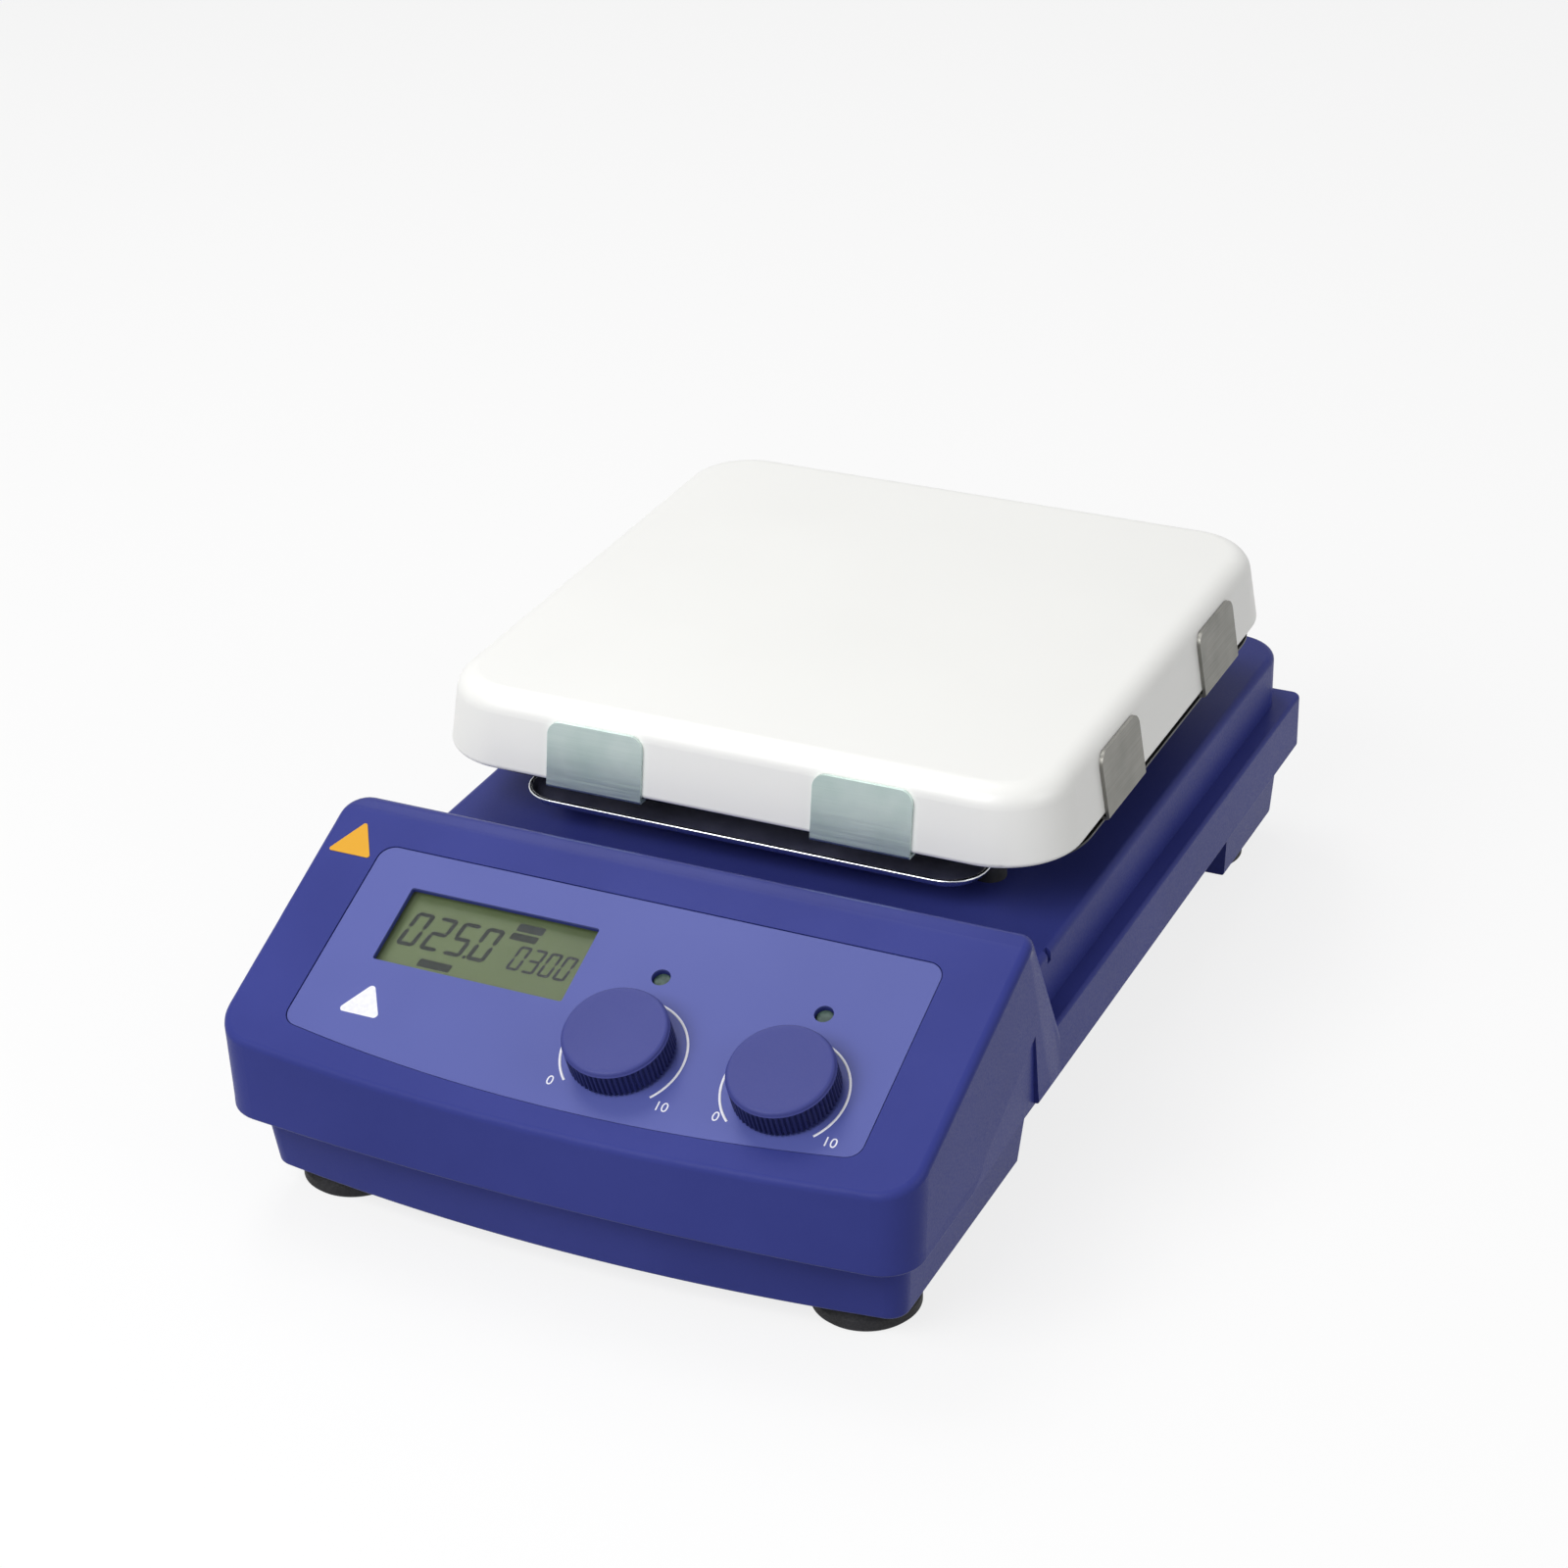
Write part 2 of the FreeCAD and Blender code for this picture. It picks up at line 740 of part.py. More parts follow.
def base_pan():
    wall = pan_wall
    pan = drafted_pan(0, pan_corner_round, pan_bottom_z, pan_top_z)
    pan = round_level(pan, pan_round, pan_bottom_z)
    room = drafted_pan(-wall, pan_corner_round - wall, pan_bottom_z + wall, pan_top_z + 1)
    room = room.cut(channel_profile(wall, half_width))
    pan = pan.cut([channel_profile(0, body_width), room])
    bosses = [disc(x, y, screw_boss_radius, channel_z, screw_split_z) for x, y in screw_places()]
    bosses += [disc(x, y, foot_boss_radius, pan_bottom_z + wall / 2, pan_bottom_z + foot_boss_height)
               for x, y in foot_places()]
    bosses += [disc(x, y, board_post_radius, channel_z + wall / 2, power_board_z)
               for x, y in board_post_places()]
    pan = pan.fuse(bosses)
    tools = []
    for x, y in screw_places():
        tools.append(disc(x, y, screw_radius + clearance, channel_z - 1, screw_split_z + 1))
        tools.append(disc(x, y, screw_head_radius + clearance, channel_z - 1,
                          channel_floor_z + screw_head_height))
    for x, y in foot_places():
        tools.append(disc(x, y, foot_screw_radius, pan_bottom_z - 1, pan_bottom_z + foot_boss_height + 1))
    for side in (-1, 1):
        for i in range(vent_count):
            y = vent_y + i * vent_pitch
            tools.append(centred_box(side * vent_x, y, vent_length / 2, vent_width / 2,
                                     channel_z - 1, channel_floor_z + 1))
    notch_lap = panel_side_lap + clearance
    tools.append(box(window_left - notch_lap, window_right + notch_lap, pan_rear_y - wall - 1, pan_rear_y + 1,
                     cover_bottom_z, pan_top_z + 1))
    reach = rod_flange_radius + 1
    tools.append(box(rod_x - reach, rod_x + reach, pan_rear_y - wall - 1, pan_rear_y + 1,
                     cover_bottom_z, pan_top_z + 1))
    return pan.cut(tools)


def board_post_places():
    inset = 2 * board_post_radius
    xs = (inset - power_board_half_x, power_board_half_x - inset)
    ys = (power_board_front_y + inset, power_board_rear_y - inset)
    return [(x, y) for x in xs for y in ys]


def upward_screw(x, y, head_radius, head_height, radius, seat_z, tip_z):
    """A pan-head screw driven up from below, with its head under seat_z."""
    head = disc(x, y, head_radius, seat_z - head_height, seat_z)
    head = round_level(head, head_height * screw_head_round_share, seat_z - head_height)
    reach = head_radius * screw_cross_share
    floor_z = seat_z - head_height * screw_cross_floor_share
    slot = centred_box(x, y, reach, screw_cross_half, seat_z - head_height - 1, floor_z)
    cross = centred_box(x, y, screw_cross_half, reach, seat_z - head_height - 1, floor_z)
    return head.fuse(disc(x, y, radius, seat_z - join_bite, tip_z)).cut([slot, cross])


def cover_screws():
    seat = channel_floor_z + screw_head_height
    tip = screw_split_z + screw_bite
    return [upward_screw(x, y, screw_head_radius, screw_head_height, screw_radius, seat, tip)
            for x, y in screw_places()]


def foot(x, y):
    top = pan_bottom_z
    points = [
        vec(foot_screw_radius + seat_gap, 0, top),
        vec(foot_neck_radius, 0, top),
        vec(foot_neck_radius, 0, top * (1 - foot_neck_share)),
        vec(foot_radius, 0, top * (1 - foot_shoulder_share)),
        vec(foot_radius, 0, foot_tread_bevel),
        vec(foot_radius - foot_tread_bevel, 0, 0),
        vec(foot_recess_radius, 0, 0),
        vec(foot_recess_radius, 0, foot_recess_depth),
        vec(foot_screw_radius + seat_gap, 0, foot_recess_depth),
        vec(foot_screw_radius + seat_gap, 0, top),
    ]
    body = Part.Face(Part.makePolygon(points)).revolve(vec(0, 0, 0), vec(0, 0, 1), 360)
    body.translate(vec(x, y, 0))
    return body


def foot_screws():
    tip = pan_bottom_z + foot_boss_height
    return [upward_screw(x, y, foot_screw_head_radius, foot_screw_head_height, foot_screw_radius,
                         foot_recess_depth, tip) for x, y in foot_places()]


def panel_overlay():
    top = overlay_thickness - overlay_recess
    sheet = overlay_outline(clearance, top, overlay_thickness)
    return on_panel(sheet.cut(panel_holes(True)))


def yellow_patch():
    """Rounded triangular sticker on the console beside the panel."""
    radius = patch_side / math.sqrt(3)
    points = []
    for degrees in (90, 210, 330, 90):
        angle = math.radians(degrees)
        points.append(vec(patch_x + radius * math.cos(angle), radius * math.sin(angle) - patch_down, 0))
    patch = round_uprights(pad(Part.makePolygon(points), 0, patch_thickness), patch_corner)
    return on_panel(patch)


def lcd_lens():
    grow = lcd_shoulder - clearance / 2
    top = -lcd_depth
    return on_panel(lcd_block(grow, lcd_lens_corner, top - lcd_lens_thickness, top))


def lcd_module():
    top = -max(lcd_depth + lcd_lens_thickness, housing_wall) - seat_gap * 2
    return on_panel(lcd_block(lcd_module_margin, lcd_module_corner, top - lcd_module_thickness, top))


def control_board():
    top = -board_depth
    board = box(-board_half_width, board_half_width, -board_bottom, -board_top, top - board_thickness, top)
    return on_panel(round_uprights(board, board_corner))


def indicator(x):
    """Lens with a light pipe that reaches back to the board."""
    top = -overlay_recess - indicator_recess
    pipe = disc(x, -indicator_down, indicator_radius, seat_gap - board_depth, top)
    return on_panel(round_level(pipe, indicator_edge_round, top))


def pot(x):
    top = -pot_depth
    body = centred_box(x, -knob_down, pot_side / 2, pot_side / 2, top - pot_thickness, top)
    body = round_uprights(body, pot_corner)
    bushing_top = overlay_thickness - overlay_recess + pot_nut_height + pot_bushing_proud
    collar = disc(x, -knob_down, pot_side * pot_collar_share, top - join_lap, -housing_wall)
    bushing = disc(x, -knob_down, pot_bushing_radius, top - join_lap, bushing_top)
    bore = disc(x, -knob_down, shaft_radius + running_fit, shaft_floor() - clearance, bushing_top + 1)
    return on_panel(body.fuse([collar, bushing]).cut(bore))


def shaft_floor():
    """Inner end of a control shaft, in the panel's frame."""
    return -pot_depth - pot_thickness * pot_floor_share


def pot_nut(x):
    low = overlay_thickness - overlay_recess
    nut = hexagon(pot_nut_flats, low, low + pot_nut_height)
    nut = nut.cut(disc(0, 0, pot_bushing_radius, low - 1, low + pot_nut_height + 1))
    nut.translate(vec(x, -knob_down, 0))
    return on_panel(nut)


def control_shaft(x):
    top = knob_gap + knob_height - shaft_cover
    shaft = disc(x, -knob_down, shaft_radius, shaft_floor(), top)
    return on_panel(round_level(shaft, shaft_end_round, top))


def fluted_ring(z0, z1):
    """Knob skirt with fine upright flutes all round."""
    points = []
    for i in range(knob_flutes * 4):
        crest = i % 4 < 2
        radius = knob_radius if crest else knob_radius - knob_flute_depth
        shift = knob_flute_shape[i % 4]
        angle = 2 * math.pi * (i // 4 + shift) / knob_flutes
        points.append(vec(radius * math.cos(angle), radius * math.sin(angle), 0))
    return pad(Part.makePolygon(points + points[:1]), z0, z1)


def knob(x):
    low = knob_gap
    top = knob_gap + knob_height
    crown_z = top - knob_crown_height
    crown_radius = knob_radius - knob_flute_depth / 2
    crown = round_level(disc(0, 0, crown_radius, crown_z, top), knob_crown_round, top)
    body = fluted_ring(low, crown_z).fuse(crown)
    body = body.cut(disc(0, 0, knob_hollow_radius, low - 1, low + knob_hollow_height))
    hub_low = overlay_thickness - overlay_recess + pot_nut_height + pot_bushing_proud + clearance
    body = body.fuse(disc(0, 0, knob_hub_radius, hub_low, low + knob_hollow_height + join_lap))
    body = body.cut(disc(0, 0, shaft_radius, low - 1, top - shaft_cover))
    body.translate(vec(x, -knob_down, 0))
    return on_panel(body)


def top_plate():
    """White coated plate: a shallow tray upside down, with draft and a soft top edge."""
    depth = plate_depth
    outer = tapered_block(0, plate_y, plate_half, plate_half - plate_draft, plate_corner,
                          plate_corner - plate_draft, plate_rim_z, total_height)
    outer = round_level(outer, plate_edge_round, total_height)
    outer = round_level(outer, plate_rim_round, plate_rim_z)
    inner_draft = plate_draft * (plate_inner_z - plate_rim_z + 1) / depth
    low = plate_half - plate_wall + plate_draft / depth
    inner = tapered_block(0, plate_y, low, low - inner_draft, plate_corner - plate_wall,
                          plate_corner - plate_wall - inner_draft, plate_rim_z - 1, plate_inner_z)
    return outer.cut(inner)


def heating_element():
    """Mica heater with the grooves that carry its resistance tape."""
    top = heater_z + heater_thickness
    sheet = rounded_block(0, plate_y, heater_half, heater_half, heater_corner, heater_z, top)
    tools = [disc(0, plate_y, probe_radius + clearance, heater_z - 1, top + 1)]
    reach = heater_half - heater_groove_pitch
    count = int(2 * reach / heater_groove_pitch) + 1
    for i in range(count):
        x = (i - (count - 1) / 2) * heater_groove_pitch
        tools.append(centred_box(x, plate_y, heater_groove_width / 2, reach, heater_z - 1,
                                 heater_z + heater_groove_depth))
    return sheet.cut(tools)


def insulation_pad():
    top = heater_z - seat_gap
    pad_block = rounded_block(0, plate_y, insulation_half, insulation_half, insulation_corner,
                              base_sheet_top_z, top)
    tools = [disc(0, plate_y, probe_radius + clearance, base_sheet_top_z - 1, top + 1)]
    for x, y in post_places():
        tools.append(disc(x, y, post_screw_radius + post_screw_relief, base_sheet_top_z - 1,
                          base_sheet_top_z + post_screw_bite + insulation_relief))
    return pad_block.cut(tools)


def clip_screw_places(side):
    """The two clip screws along one side of the plate, turned to that side."""
    run = plate_half + clip_gap - clip_screw_inset
    return [turned(vec(along_side, -run, 0), side) for along_side in (-clip_offset, clip_offset)]


def turned(point, side):
    """Turn a point given for the front side to another side of the plate."""
    turn = FreeCAD.Rotation(vec(0, 0, 1), 90 * side)
    return turn.multVec(point).add(vec(0, plate_y, 0))


def base_sheet():
    sheet = rounded_block(0, plate_y, plate_half - base_sheet_side_inset, plate_half - base_sheet_front_inset,
                          base_sheet_corner, base_sheet_z, base_sheet_top_z)
    tools = [disc(0, plate_y, probe_radius, base_sheet_z - 1, base_sheet_top_z + 1)]
    for x, y in post_places():
        tools.append(disc(x, y, post_screw_radius, base_sheet_z - 1, base_sheet_top_z + 1))
    for side in range(4):
        for place in clip_screw_places(side):
            tools.append(disc(place.x, place.y, screw_radius, base_sheet_z - 1, base_sheet_top_z + 1))
    return sheet.cut(tools)


def clip(offset, side):
    """Bent strip that grips the plate's edge: a foot under the rim and a leaning upright."""
    face_y = -plate_half - clip_gap
    lean = plate_draft / plate_depth
    low = base_sheet_top_z
    high = plate_rim_z + (clip_height if side < 2 else clip_height_far)
    top_y = face_y + lean * (high - low)
    thick = clip_thickness
    points = [
        vec(0, face_y + clip_foot, low),
        vec(0, face_y - thick, low),
        vec(0, top_y - thick, high),
        vec(0, top_y, high),
        vec(0, face_y + lean * thick, low + thick),
        vec(0, face_y + clip_foot, low + thick),
        vec(0, face_y + clip_foot, low),
    ]
    strip = Part.Face(Part.makePolygon(points)).extrude(vec(clip_width, 0, 0))
    strip.translate(vec(offset - clip_width / 2, 0, 0))
    strip = round_where(strip, clip_corner, lambda edge: middle(edge).z > high - 0.01
                        and abs(abs(middle(edge).x - offset) - clip_width / 2) < 0.01)
    strip = round_where(strip, thick * bend_round_share, lambda edge: along(edge, vec(1, 0, 0))
                        and abs(middle(edge).y - face_y + thick) < 0.01 and middle(edge).z < low + 0.01)
    strip = strip.cut(disc(offset, face_y + clip_screw_inset, screw_radius, low - 1, low + thick + 1))
    strip.rotate(vec(0, 0, 0), vec(0, 0, 1), 90 * side)
    strip.translate(vec(0, plate_y, 0))
    return strip


def clip_screws():
    screws = []
    for side in range(4):
        for place in clip_screw_places(side):
            screws.append(upward_screw(place.x, place.y, screw_head_radius, screw_head_height, screw_radius,
                                       base_sheet_z, base_sheet_top_z + clip_thickness))
    return screws


def heat_shield():
    """Bright tray between the hot top and the deck, with an upturned rim."""
    top = shield_sheet_z + shield_thickness + shield_rim_height
    tray = rounded_block(0, plate_y, shield_half_x, shield_half_y, shield_corner, shield_sheet_z, top)
    tray = round_level(tray, shield_thickness * bend_round_share, shield_sheet_z)
    thick = shield_thickness
    inner = rounded_block(0, plate_y, shield_half_x - thick, shield_half_y - thick, shield_corner - thick,
                          shield_sheet_z + thick, top + 1)
    holes = [disc(x, y, post_neck_radius + seat_gap, shield_sheet_z - 1, top + 1) for x, y in post_places()]
    return tray.cut([inner] + holes)


def plate_posts():
    """Stepped ceramic posts that stand on the deck and carry the shield and the hot top."""
    posts = []
    for x, y in post_places():
        post = disc(x, y, post_radius, deck_z, shield_sheet_z)
        post = post.fuse(disc(x, y, post_neck_radius, shield_sheet_z - join_bite, base_sheet_z))
        posts.append(post.cut(disc(x, y, post_screw_radius + seat_gap, deck_z - 1, base_sheet_z + 1)))
    return posts


def post_screws():
    return [upward_screw(x, y, post_screw_head_radius, post_screw_head_height, post_screw_radius,
                         deck_inner_z, base_sheet_top_z + post_screw_bite) for x, y in post_places()]


def temperature_probe():
    rod = disc(0, plate_y, probe_radius, base_sheet_z - join_bite, plate_inner_z - seat_gap)
    head = hexagon(probe_head_radius * 2, base_sheet_z - probe_head_height, base_sheet_z)
    head.translate(vec(0, plate_y, 0))
    return rod.fuse(head)


def motor_bracket():
    top = bracket_z + bracket_thickness
    plate = rounded_block(0, plate_y, bracket_half, bracket_half, bracket_corner, bracket_z, top)
    tools = [disc(0, plate_y, bearing_radius + bracket_bore_relief, bracket_z - 1, top + 1)]
    for x, y in bracket_screw_places():
        tools.append(disc(x, y, screw_radius + seat_gap, bracket_z - 1, top + 1))
    return plate.cut(tools)


def bracket_screws():
    return [upward_screw(x, y, screw_head_radius, screw_head_height, screw_radius, bracket_z,
                         deck_inner_z - bracket_screw_end) for x, y in bracket_screw_places()]


def bearing_levels():
    low = bracket_z - stator_height
    return {"lower_bearing": low, "upper_bearing": bracket_z - bearing_height}


def motor_stator():
    low = bracket_z - stator_height
    can = disc(0, plate_y, stator_radius, low, bracket_z)
    can = round_level(can, stator_edge_round, low)
    tools = [disc(0, plate_y, rotor_radius + rotor_gap, low + bearing_height, bracket_z - bearing_height)]
    for z in bearing_levels().values():
        tools.append(disc(0, plate_y, bearing_radius, z, z + bearing_height))
    return can.cut(tools)


def bearing(z):
    ring = disc(0, plate_y, bearing_radius, z, z + bearing_height)
    return ring.cut(disc(0, plate_y, motor_shaft_radius + running_fit, z - 1, z + bearing_height + 1))


def motor_shaft():
    low = bracket_z - stator_height - motor_shaft_end
    return disc(0, plate_y, motor_shaft_radius, low, carrier_z + carrier_thickness)


def motor_rotor():
    low = bracket_z - stator_height + bearing_height + slide_clearance
    high = bracket_z - bearing_height - slide_clearance
    drum = disc(0, plate_y, rotor_radius, low, high)
    return drum.cut(disc(0, plate_y, motor_shaft_radius, low - 1, high + 1))


def magnet_carrier():
    """Arm that holds the two magnets, cut from a disc, with a hub below."""
    top = carrier_z + carrier_thickness
    arm = disc(0, plate_y, carrier_radius, carrier_z, top)
    arm = arm.common(centred_box(0, plate_y, carrier_radius, carrier_width / 2, carrier_z, top))
    arm = arm.fuse(disc(0, plate_y, carrier_hub_radius, carrier_z - carrier_hub_drop, carrier_z + join_bite))
    return arm.cut(disc(0, plate_y, motor_shaft_radius, carrier_z - carrier_hub_drop - 1, top + 1))


def drive_magnets():
    low = carrier_z + carrier_thickness
    return [round_level(disc(side * magnet_offset, plate_y, magnet_radius, low, low + magnet_height),
                        magnet_edge_round, low + magnet_height) for side in (-1, 1)]


def power_board():
    top = power_board_z + board_thickness
    board = box(-power_board_half_x, power_board_half_x, power_board_front_y, power_board_rear_y,
                power_board_z, top)
    board = round_uprights(board, board_corner)
    relay_x = relay_from_side - power_board_half_x
    relay_y = power_board_front_y + relay_from_front
    relay = box(relay_x, relay_x + relay_width, relay_y, relay_y + relay_depth,
                top - join_bite, top + relay_height)
    terminal_y = power_board_rear_y - terminal_from_rear
    terminal = box(terminal_left, terminal_left + terminal_width, terminal_y - terminal_depth, terminal_y,
                   top - join_bite, top + terminal_height)
    can_y = power_board_front_y + can_from_front
    cans = [disc(can_left + can_pitch * i, can_y, can_radius, top - join_bite, top + can_height)
            for i in range(2)]
    return board.fuse([relay, terminal] + cans)


def heatsink():
    low = power_board_z + board_thickness
    half_length = heatsink_length / 2
    base = centred_box(heatsink_x, heatsink_y, half_length, heatsink_width / 2, low, low + heatsink_base)
    fins = []
    pitch = (heatsink_width - heatsink_fin) / (heatsink_fins - 1)
    for i in range(heatsink_fins):
        y = heatsink_y - heatsink_width / 2 + i * pitch
        fins.append(box(heatsink_x - half_length, heatsink_x + half_length, y, y + heatsink_fin,
                        low, low + heatsink_height))
    return base.fuse(fins)


def transformer():
    low = pan_bottom_z + pan_wall
    core = centred_box(transformer_x, transformer_y, transformer_width / 2, transformer_depth / 2, low,
                       low + transformer_height)
    coil_half_y = transformer_depth / 2 + transformer_coil_bulge
    coil = centred_box(transformer_x, transformer_y, transformer_coil_width / 2, coil_half_y,
                       low + transformer_coil_bulge, low + transformer_height - transformer_coil_bulge)
    coil = round_where(coil, transformer_coil_round, lambda edge: along(edge, vec(1, 0, 0)))
    return core.fuse(coil)


def rear_panel():
    lap = panel_lap
    sheet = box(window_left - panel_side_lap, window_right + panel_side_lap, panel_back_y, panel_face_y,
                window_bottom_z - lap, window_top_z + lap)
    slack = seat_gap
    inlet_half = inlet_body_width / 2 + slack
    frame_half = rocker_opening_x / 2 + rocker_side_wall + slack
    tools = [
        box(inlet_x - inlet_half, inlet_x + inlet_half, panel_back_y - 1, panel_face_y + 1,
            inlet_low() - slack, inlet_high() + slack),
        box(rocker_x - frame_half, rocker_x + frame_half, panel_back_y - 1, panel_face_y + 1,
            window_mid_z - rocker_half_height() - slack, window_mid_z + rocker_half_height() + slack),
        disc_along_y(sensor_x, window_mid_z, sensor_barrel_radius + slack,
                     panel_back_y - 1, panel_face_y + 1),
    ]
    return sheet.cut(tools)


def inlet_total_height():
    return inlet_cavity_height + drawer_height + 3 * inlet_wall


def inlet_low():
    return window_mid_z - inlet_total_height() / 2


def inlet_high():
    return window_mid_z + inlet_total_height() / 2


def inlet_cavity_mid_z():
    return inlet_high() - inlet_wall - inlet_cavity_height / 2


def drawer_mid_z():
    return inlet_low() + inlet_wall + drawer_height / 2


def power_inlet():
    """Appliance inlet with its fuse drawer slot below the socket."""
    low = inlet_low()
    high = inlet_high()
    back = panel_face_y - inlet_body_depth
    flange = box(inlet_x - inlet_flange_width / 2, inlet_x + inlet_flange_width / 2,
                 panel_face_y, bezel_y, low, high)
    flange = round_where(flange, inlet_flange_corner, lambda edge: along(edge, vec(0, 1, 0)))
    body = box(inlet_x - inlet_body_width / 2, inlet_x + inlet_body_width / 2,
               back, panel_face_y + join_bite, low, high)
    half_x = inlet_cavity_width / 2
    half_z = inlet_cavity_height / 2
    mid_z = inlet_cavity_mid_z()
    cut = inlet_chamfer
    outline = [
        (-half_x, -half_z), (half_x, -half_z), (half_x, half_z - cut),
        (half_x - cut, half_z), (cut - half_x, half_z), (-half_x, half_z - cut), (-half_x, -half_z),
    ]
    floor_y = bezel_y - inlet_cavity_depth
    points = [vec(inlet_x + x, floor_y, mid_z + z) for x, z in outline]
    cavity = Part.Face(Part.makePolygon(points)).extrude(vec(0, inlet_cavity_depth + 1, 0))
    slot = box(inlet_x - drawer_width / 2, inlet_x + drawer_width / 2, bezel_y - drawer_length - clearance,
               bezel_y + 1, drawer_mid_z() - drawer_height / 2, drawer_mid_z() + drawer_height / 2)
    screws = [disc_along_y(inlet_x + side * (inlet_flange_width / 2 - inlet_screw_inset), window_mid_z,
                           inlet_screw_radius, panel_face_y - 1, bezel_y + 1) for side in (-1, 1)]
    return flange.fuse(body).cut([cavity, slot] + screws + [blade.copy() for blade in inlet_blades()])


def inlet_blades():
    """Two supply blades and the earth blade."""
    floor_y = bezel_y - inlet_cavity_depth
    low_y = panel_face_y - inlet_body_depth - solder_tail
    mid_z = inlet_cavity_mid_z()
    places = [(-blade_spacing, -blade_shift), (0, blade_shift), (blade_spacing, -blade_shift)]
    return [box(inlet_x + x - blade_width / 2, inlet_x + x + blade_width / 2, low_y, floor_y + blade_length,
                mid_z + z - blade_height / 2, mid_z + z + blade_height / 2) for x, z in places]


def fuse_drawer():
    """Small tray that slides out of the inlet with two fuses across it."""
    gap = slide_clearance
    mid_z = drawer_mid_z()
    half_x = drawer_width / 2 - gap
    half_z = drawer_height / 2 - gap
    tray = box(inlet_x - half_x, inlet_x + half_x, bezel_y - drawer_length, bezel_y + drawer_proud,
               mid_z - half_z, mid_z + half_z)
    pockets = []
    for y in fuse_rows():
        pockets.append(Part.makeCylinder(fuse_radius + seat_gap, fuse_length + 2 * gap,
                                         vec(inlet_x - fuse_length / 2 - gap, y, mid_z), vec(1, 0, 0)))
        pockets.append(box(inlet_x - fuse_length / 2 - gap, inlet_x + fuse_length / 2 + gap,
                           y - fuse_radius - seat_gap, y + fuse_radius + seat_gap, mid_z, mid_z + half_z + 1))
    grip = box(inlet_x - drawer_grip_half, inlet_x + drawer_grip_half,
               bezel_y + drawer_proud - drawer_grip_depth, bezel_y + drawer_proud + 1,
               mid_z + half_z - drawer_grip_height, mid_z + half_z + 1)
    return tray.cut(pockets + [grip])


def fuse_rows():
    first = bezel_y - drawer_front - drawer_wall - fuse_radius
    return (first, first - fuse_spacing)


def fuses():
    return [Part.makeCylinder(fuse_radius, fuse_length, vec(inlet_x - fuse_length / 2, y, drawer_mid_z()),
                              vec(1, 0, 0)) for y in fuse_rows()]


def rocker_half_height():
    return rocker_radius + clearance + rocker_side_wall


def rocker_pivot_y():
    return panel_face_y - rocker_pivot_inset


def rocker_frame():
    half_x = rocker_opening_x / 2
    wall = rocker_side_wall
    half_z = rocker_radius + clearance
    flange = box(rocker_x - rocker_frame_width / 2, rocker_x + rocker_frame_width / 2, panel_face_y, bezel_y,
                 window_mid_z - rocker_frame_height / 2, window_mid_z + rocker_frame_height / 2)
    flange = round_where(flange, rocker_frame_corner, lambda edge: along(edge, vec(0, 1, 0)))
    body = box(rocker_x - half_x - wall, rocker_x + half_x + wall, panel_face_y - rocker_body_depth,
               panel_face_y + join_bite, window_mid_z - half_z - wall, window_mid_z + half_z + wall)
    room_y = rocker_pivot_y() - rocker_radius * rocker_room_share
    room = box(rocker_x - half_x, rocker_x + half_x, room_y, bezel_y + 1,
               window_mid_z - half_z, window_mid_z + half_z)
    reach = half_x + rocker_pin_reach() + seat_gap
    pivot = Part.makeCylinder(rocker_pin_radius + running_fit, 2 * reach,
                              vec(rocker_x - reach, rocker_pivot_y(), window_mid_z), vec(1, 0, 0))
    tab_root = panel_face_y - rocker_body_depth
    tabs = [box(rocker_x - rocker_tab_half, rocker_x + rocker_tab_half,
                tab_root - rocker_tab_length, tab_root + join_bite,
                z - rocker_tab_thickness / 2, z + rocker_tab_thickness / 2)
            for z in (window_mid_z - rocker_tab_drop, window_mid_z)]
    return flange.fuse([body] + tabs).cut([room, pivot])


def rocker_pin_reach():
    return rocker_side_wall * rocker_pin_share


def power_rocker():
    """Rocker with round ends about its pivot, drawn pressed to its upper half."""
    half_x = rocker_opening_x / 2 - clearance
    pivot = vec(rocker_x - half_x, rocker_pivot_y(), window_mid_z)
    drum = Part.makeCylinder(rocker_radius, 2 * half_x, pivot, vec(1, 0, 0))
    slab = box(rocker_x - half_x, rocker_x + half_x,
               rocker_pivot_y() - rocker_back, rocker_pivot_y() + rocker_front,
               window_mid_z - rocker_radius, window_mid_z + rocker_radius)
    reach = rocker_opening_x / 2 + rocker_pin_reach()
    pin_end = vec(rocker_x - reach, rocker_pivot_y(), window_mid_z)
    pin = Part.makeCylinder(rocker_pin_radius, 2 * reach, pin_end, vec(1, 0, 0))
    rocker = drum.common(slab).fuse(pin)
    rocker.rotate(vec(rocker_x, rocker_pivot_y(), window_mid_z), vec(1, 0, 0), rocker_tilt)
    return rocker


def sensor_socket():
    z = window_mid_z
    floor_y = bezel_y - sensor_depth
    flange = disc_along_y(sensor_x, z, sensor_flange_radius, panel_face_y, bezel_y)
    barrel = disc_along_y(sensor_x, z, sensor_barrel_radius,
                          floor_y - sensor_back, panel_face_y + sensor_proud)
    bore = disc_along_y(sensor_x, z, sensor_bore_radius, floor_y, rear_y + 1)
    return flange.fuse(barrel).cut([bore] + [pin.copy() for pin in sensor_contacts()])


def sensor_contacts():
    z = window_mid_z
    floor_y = bezel_y - sensor_depth
    pins = []
    for i in range(contact_count):
        angle = math.radians(90 + contact_spacing * (i - (contact_count - 1) / 2))
        across = contact_circle * math.cos(angle)
        down = contact_circle * math.sin(angle)
        pins.append(disc_along_y(sensor_x + across, z - down, contact_radius,
                                 floor_y - sensor_back - solder_tail, floor_y + contact_length))
    return pins


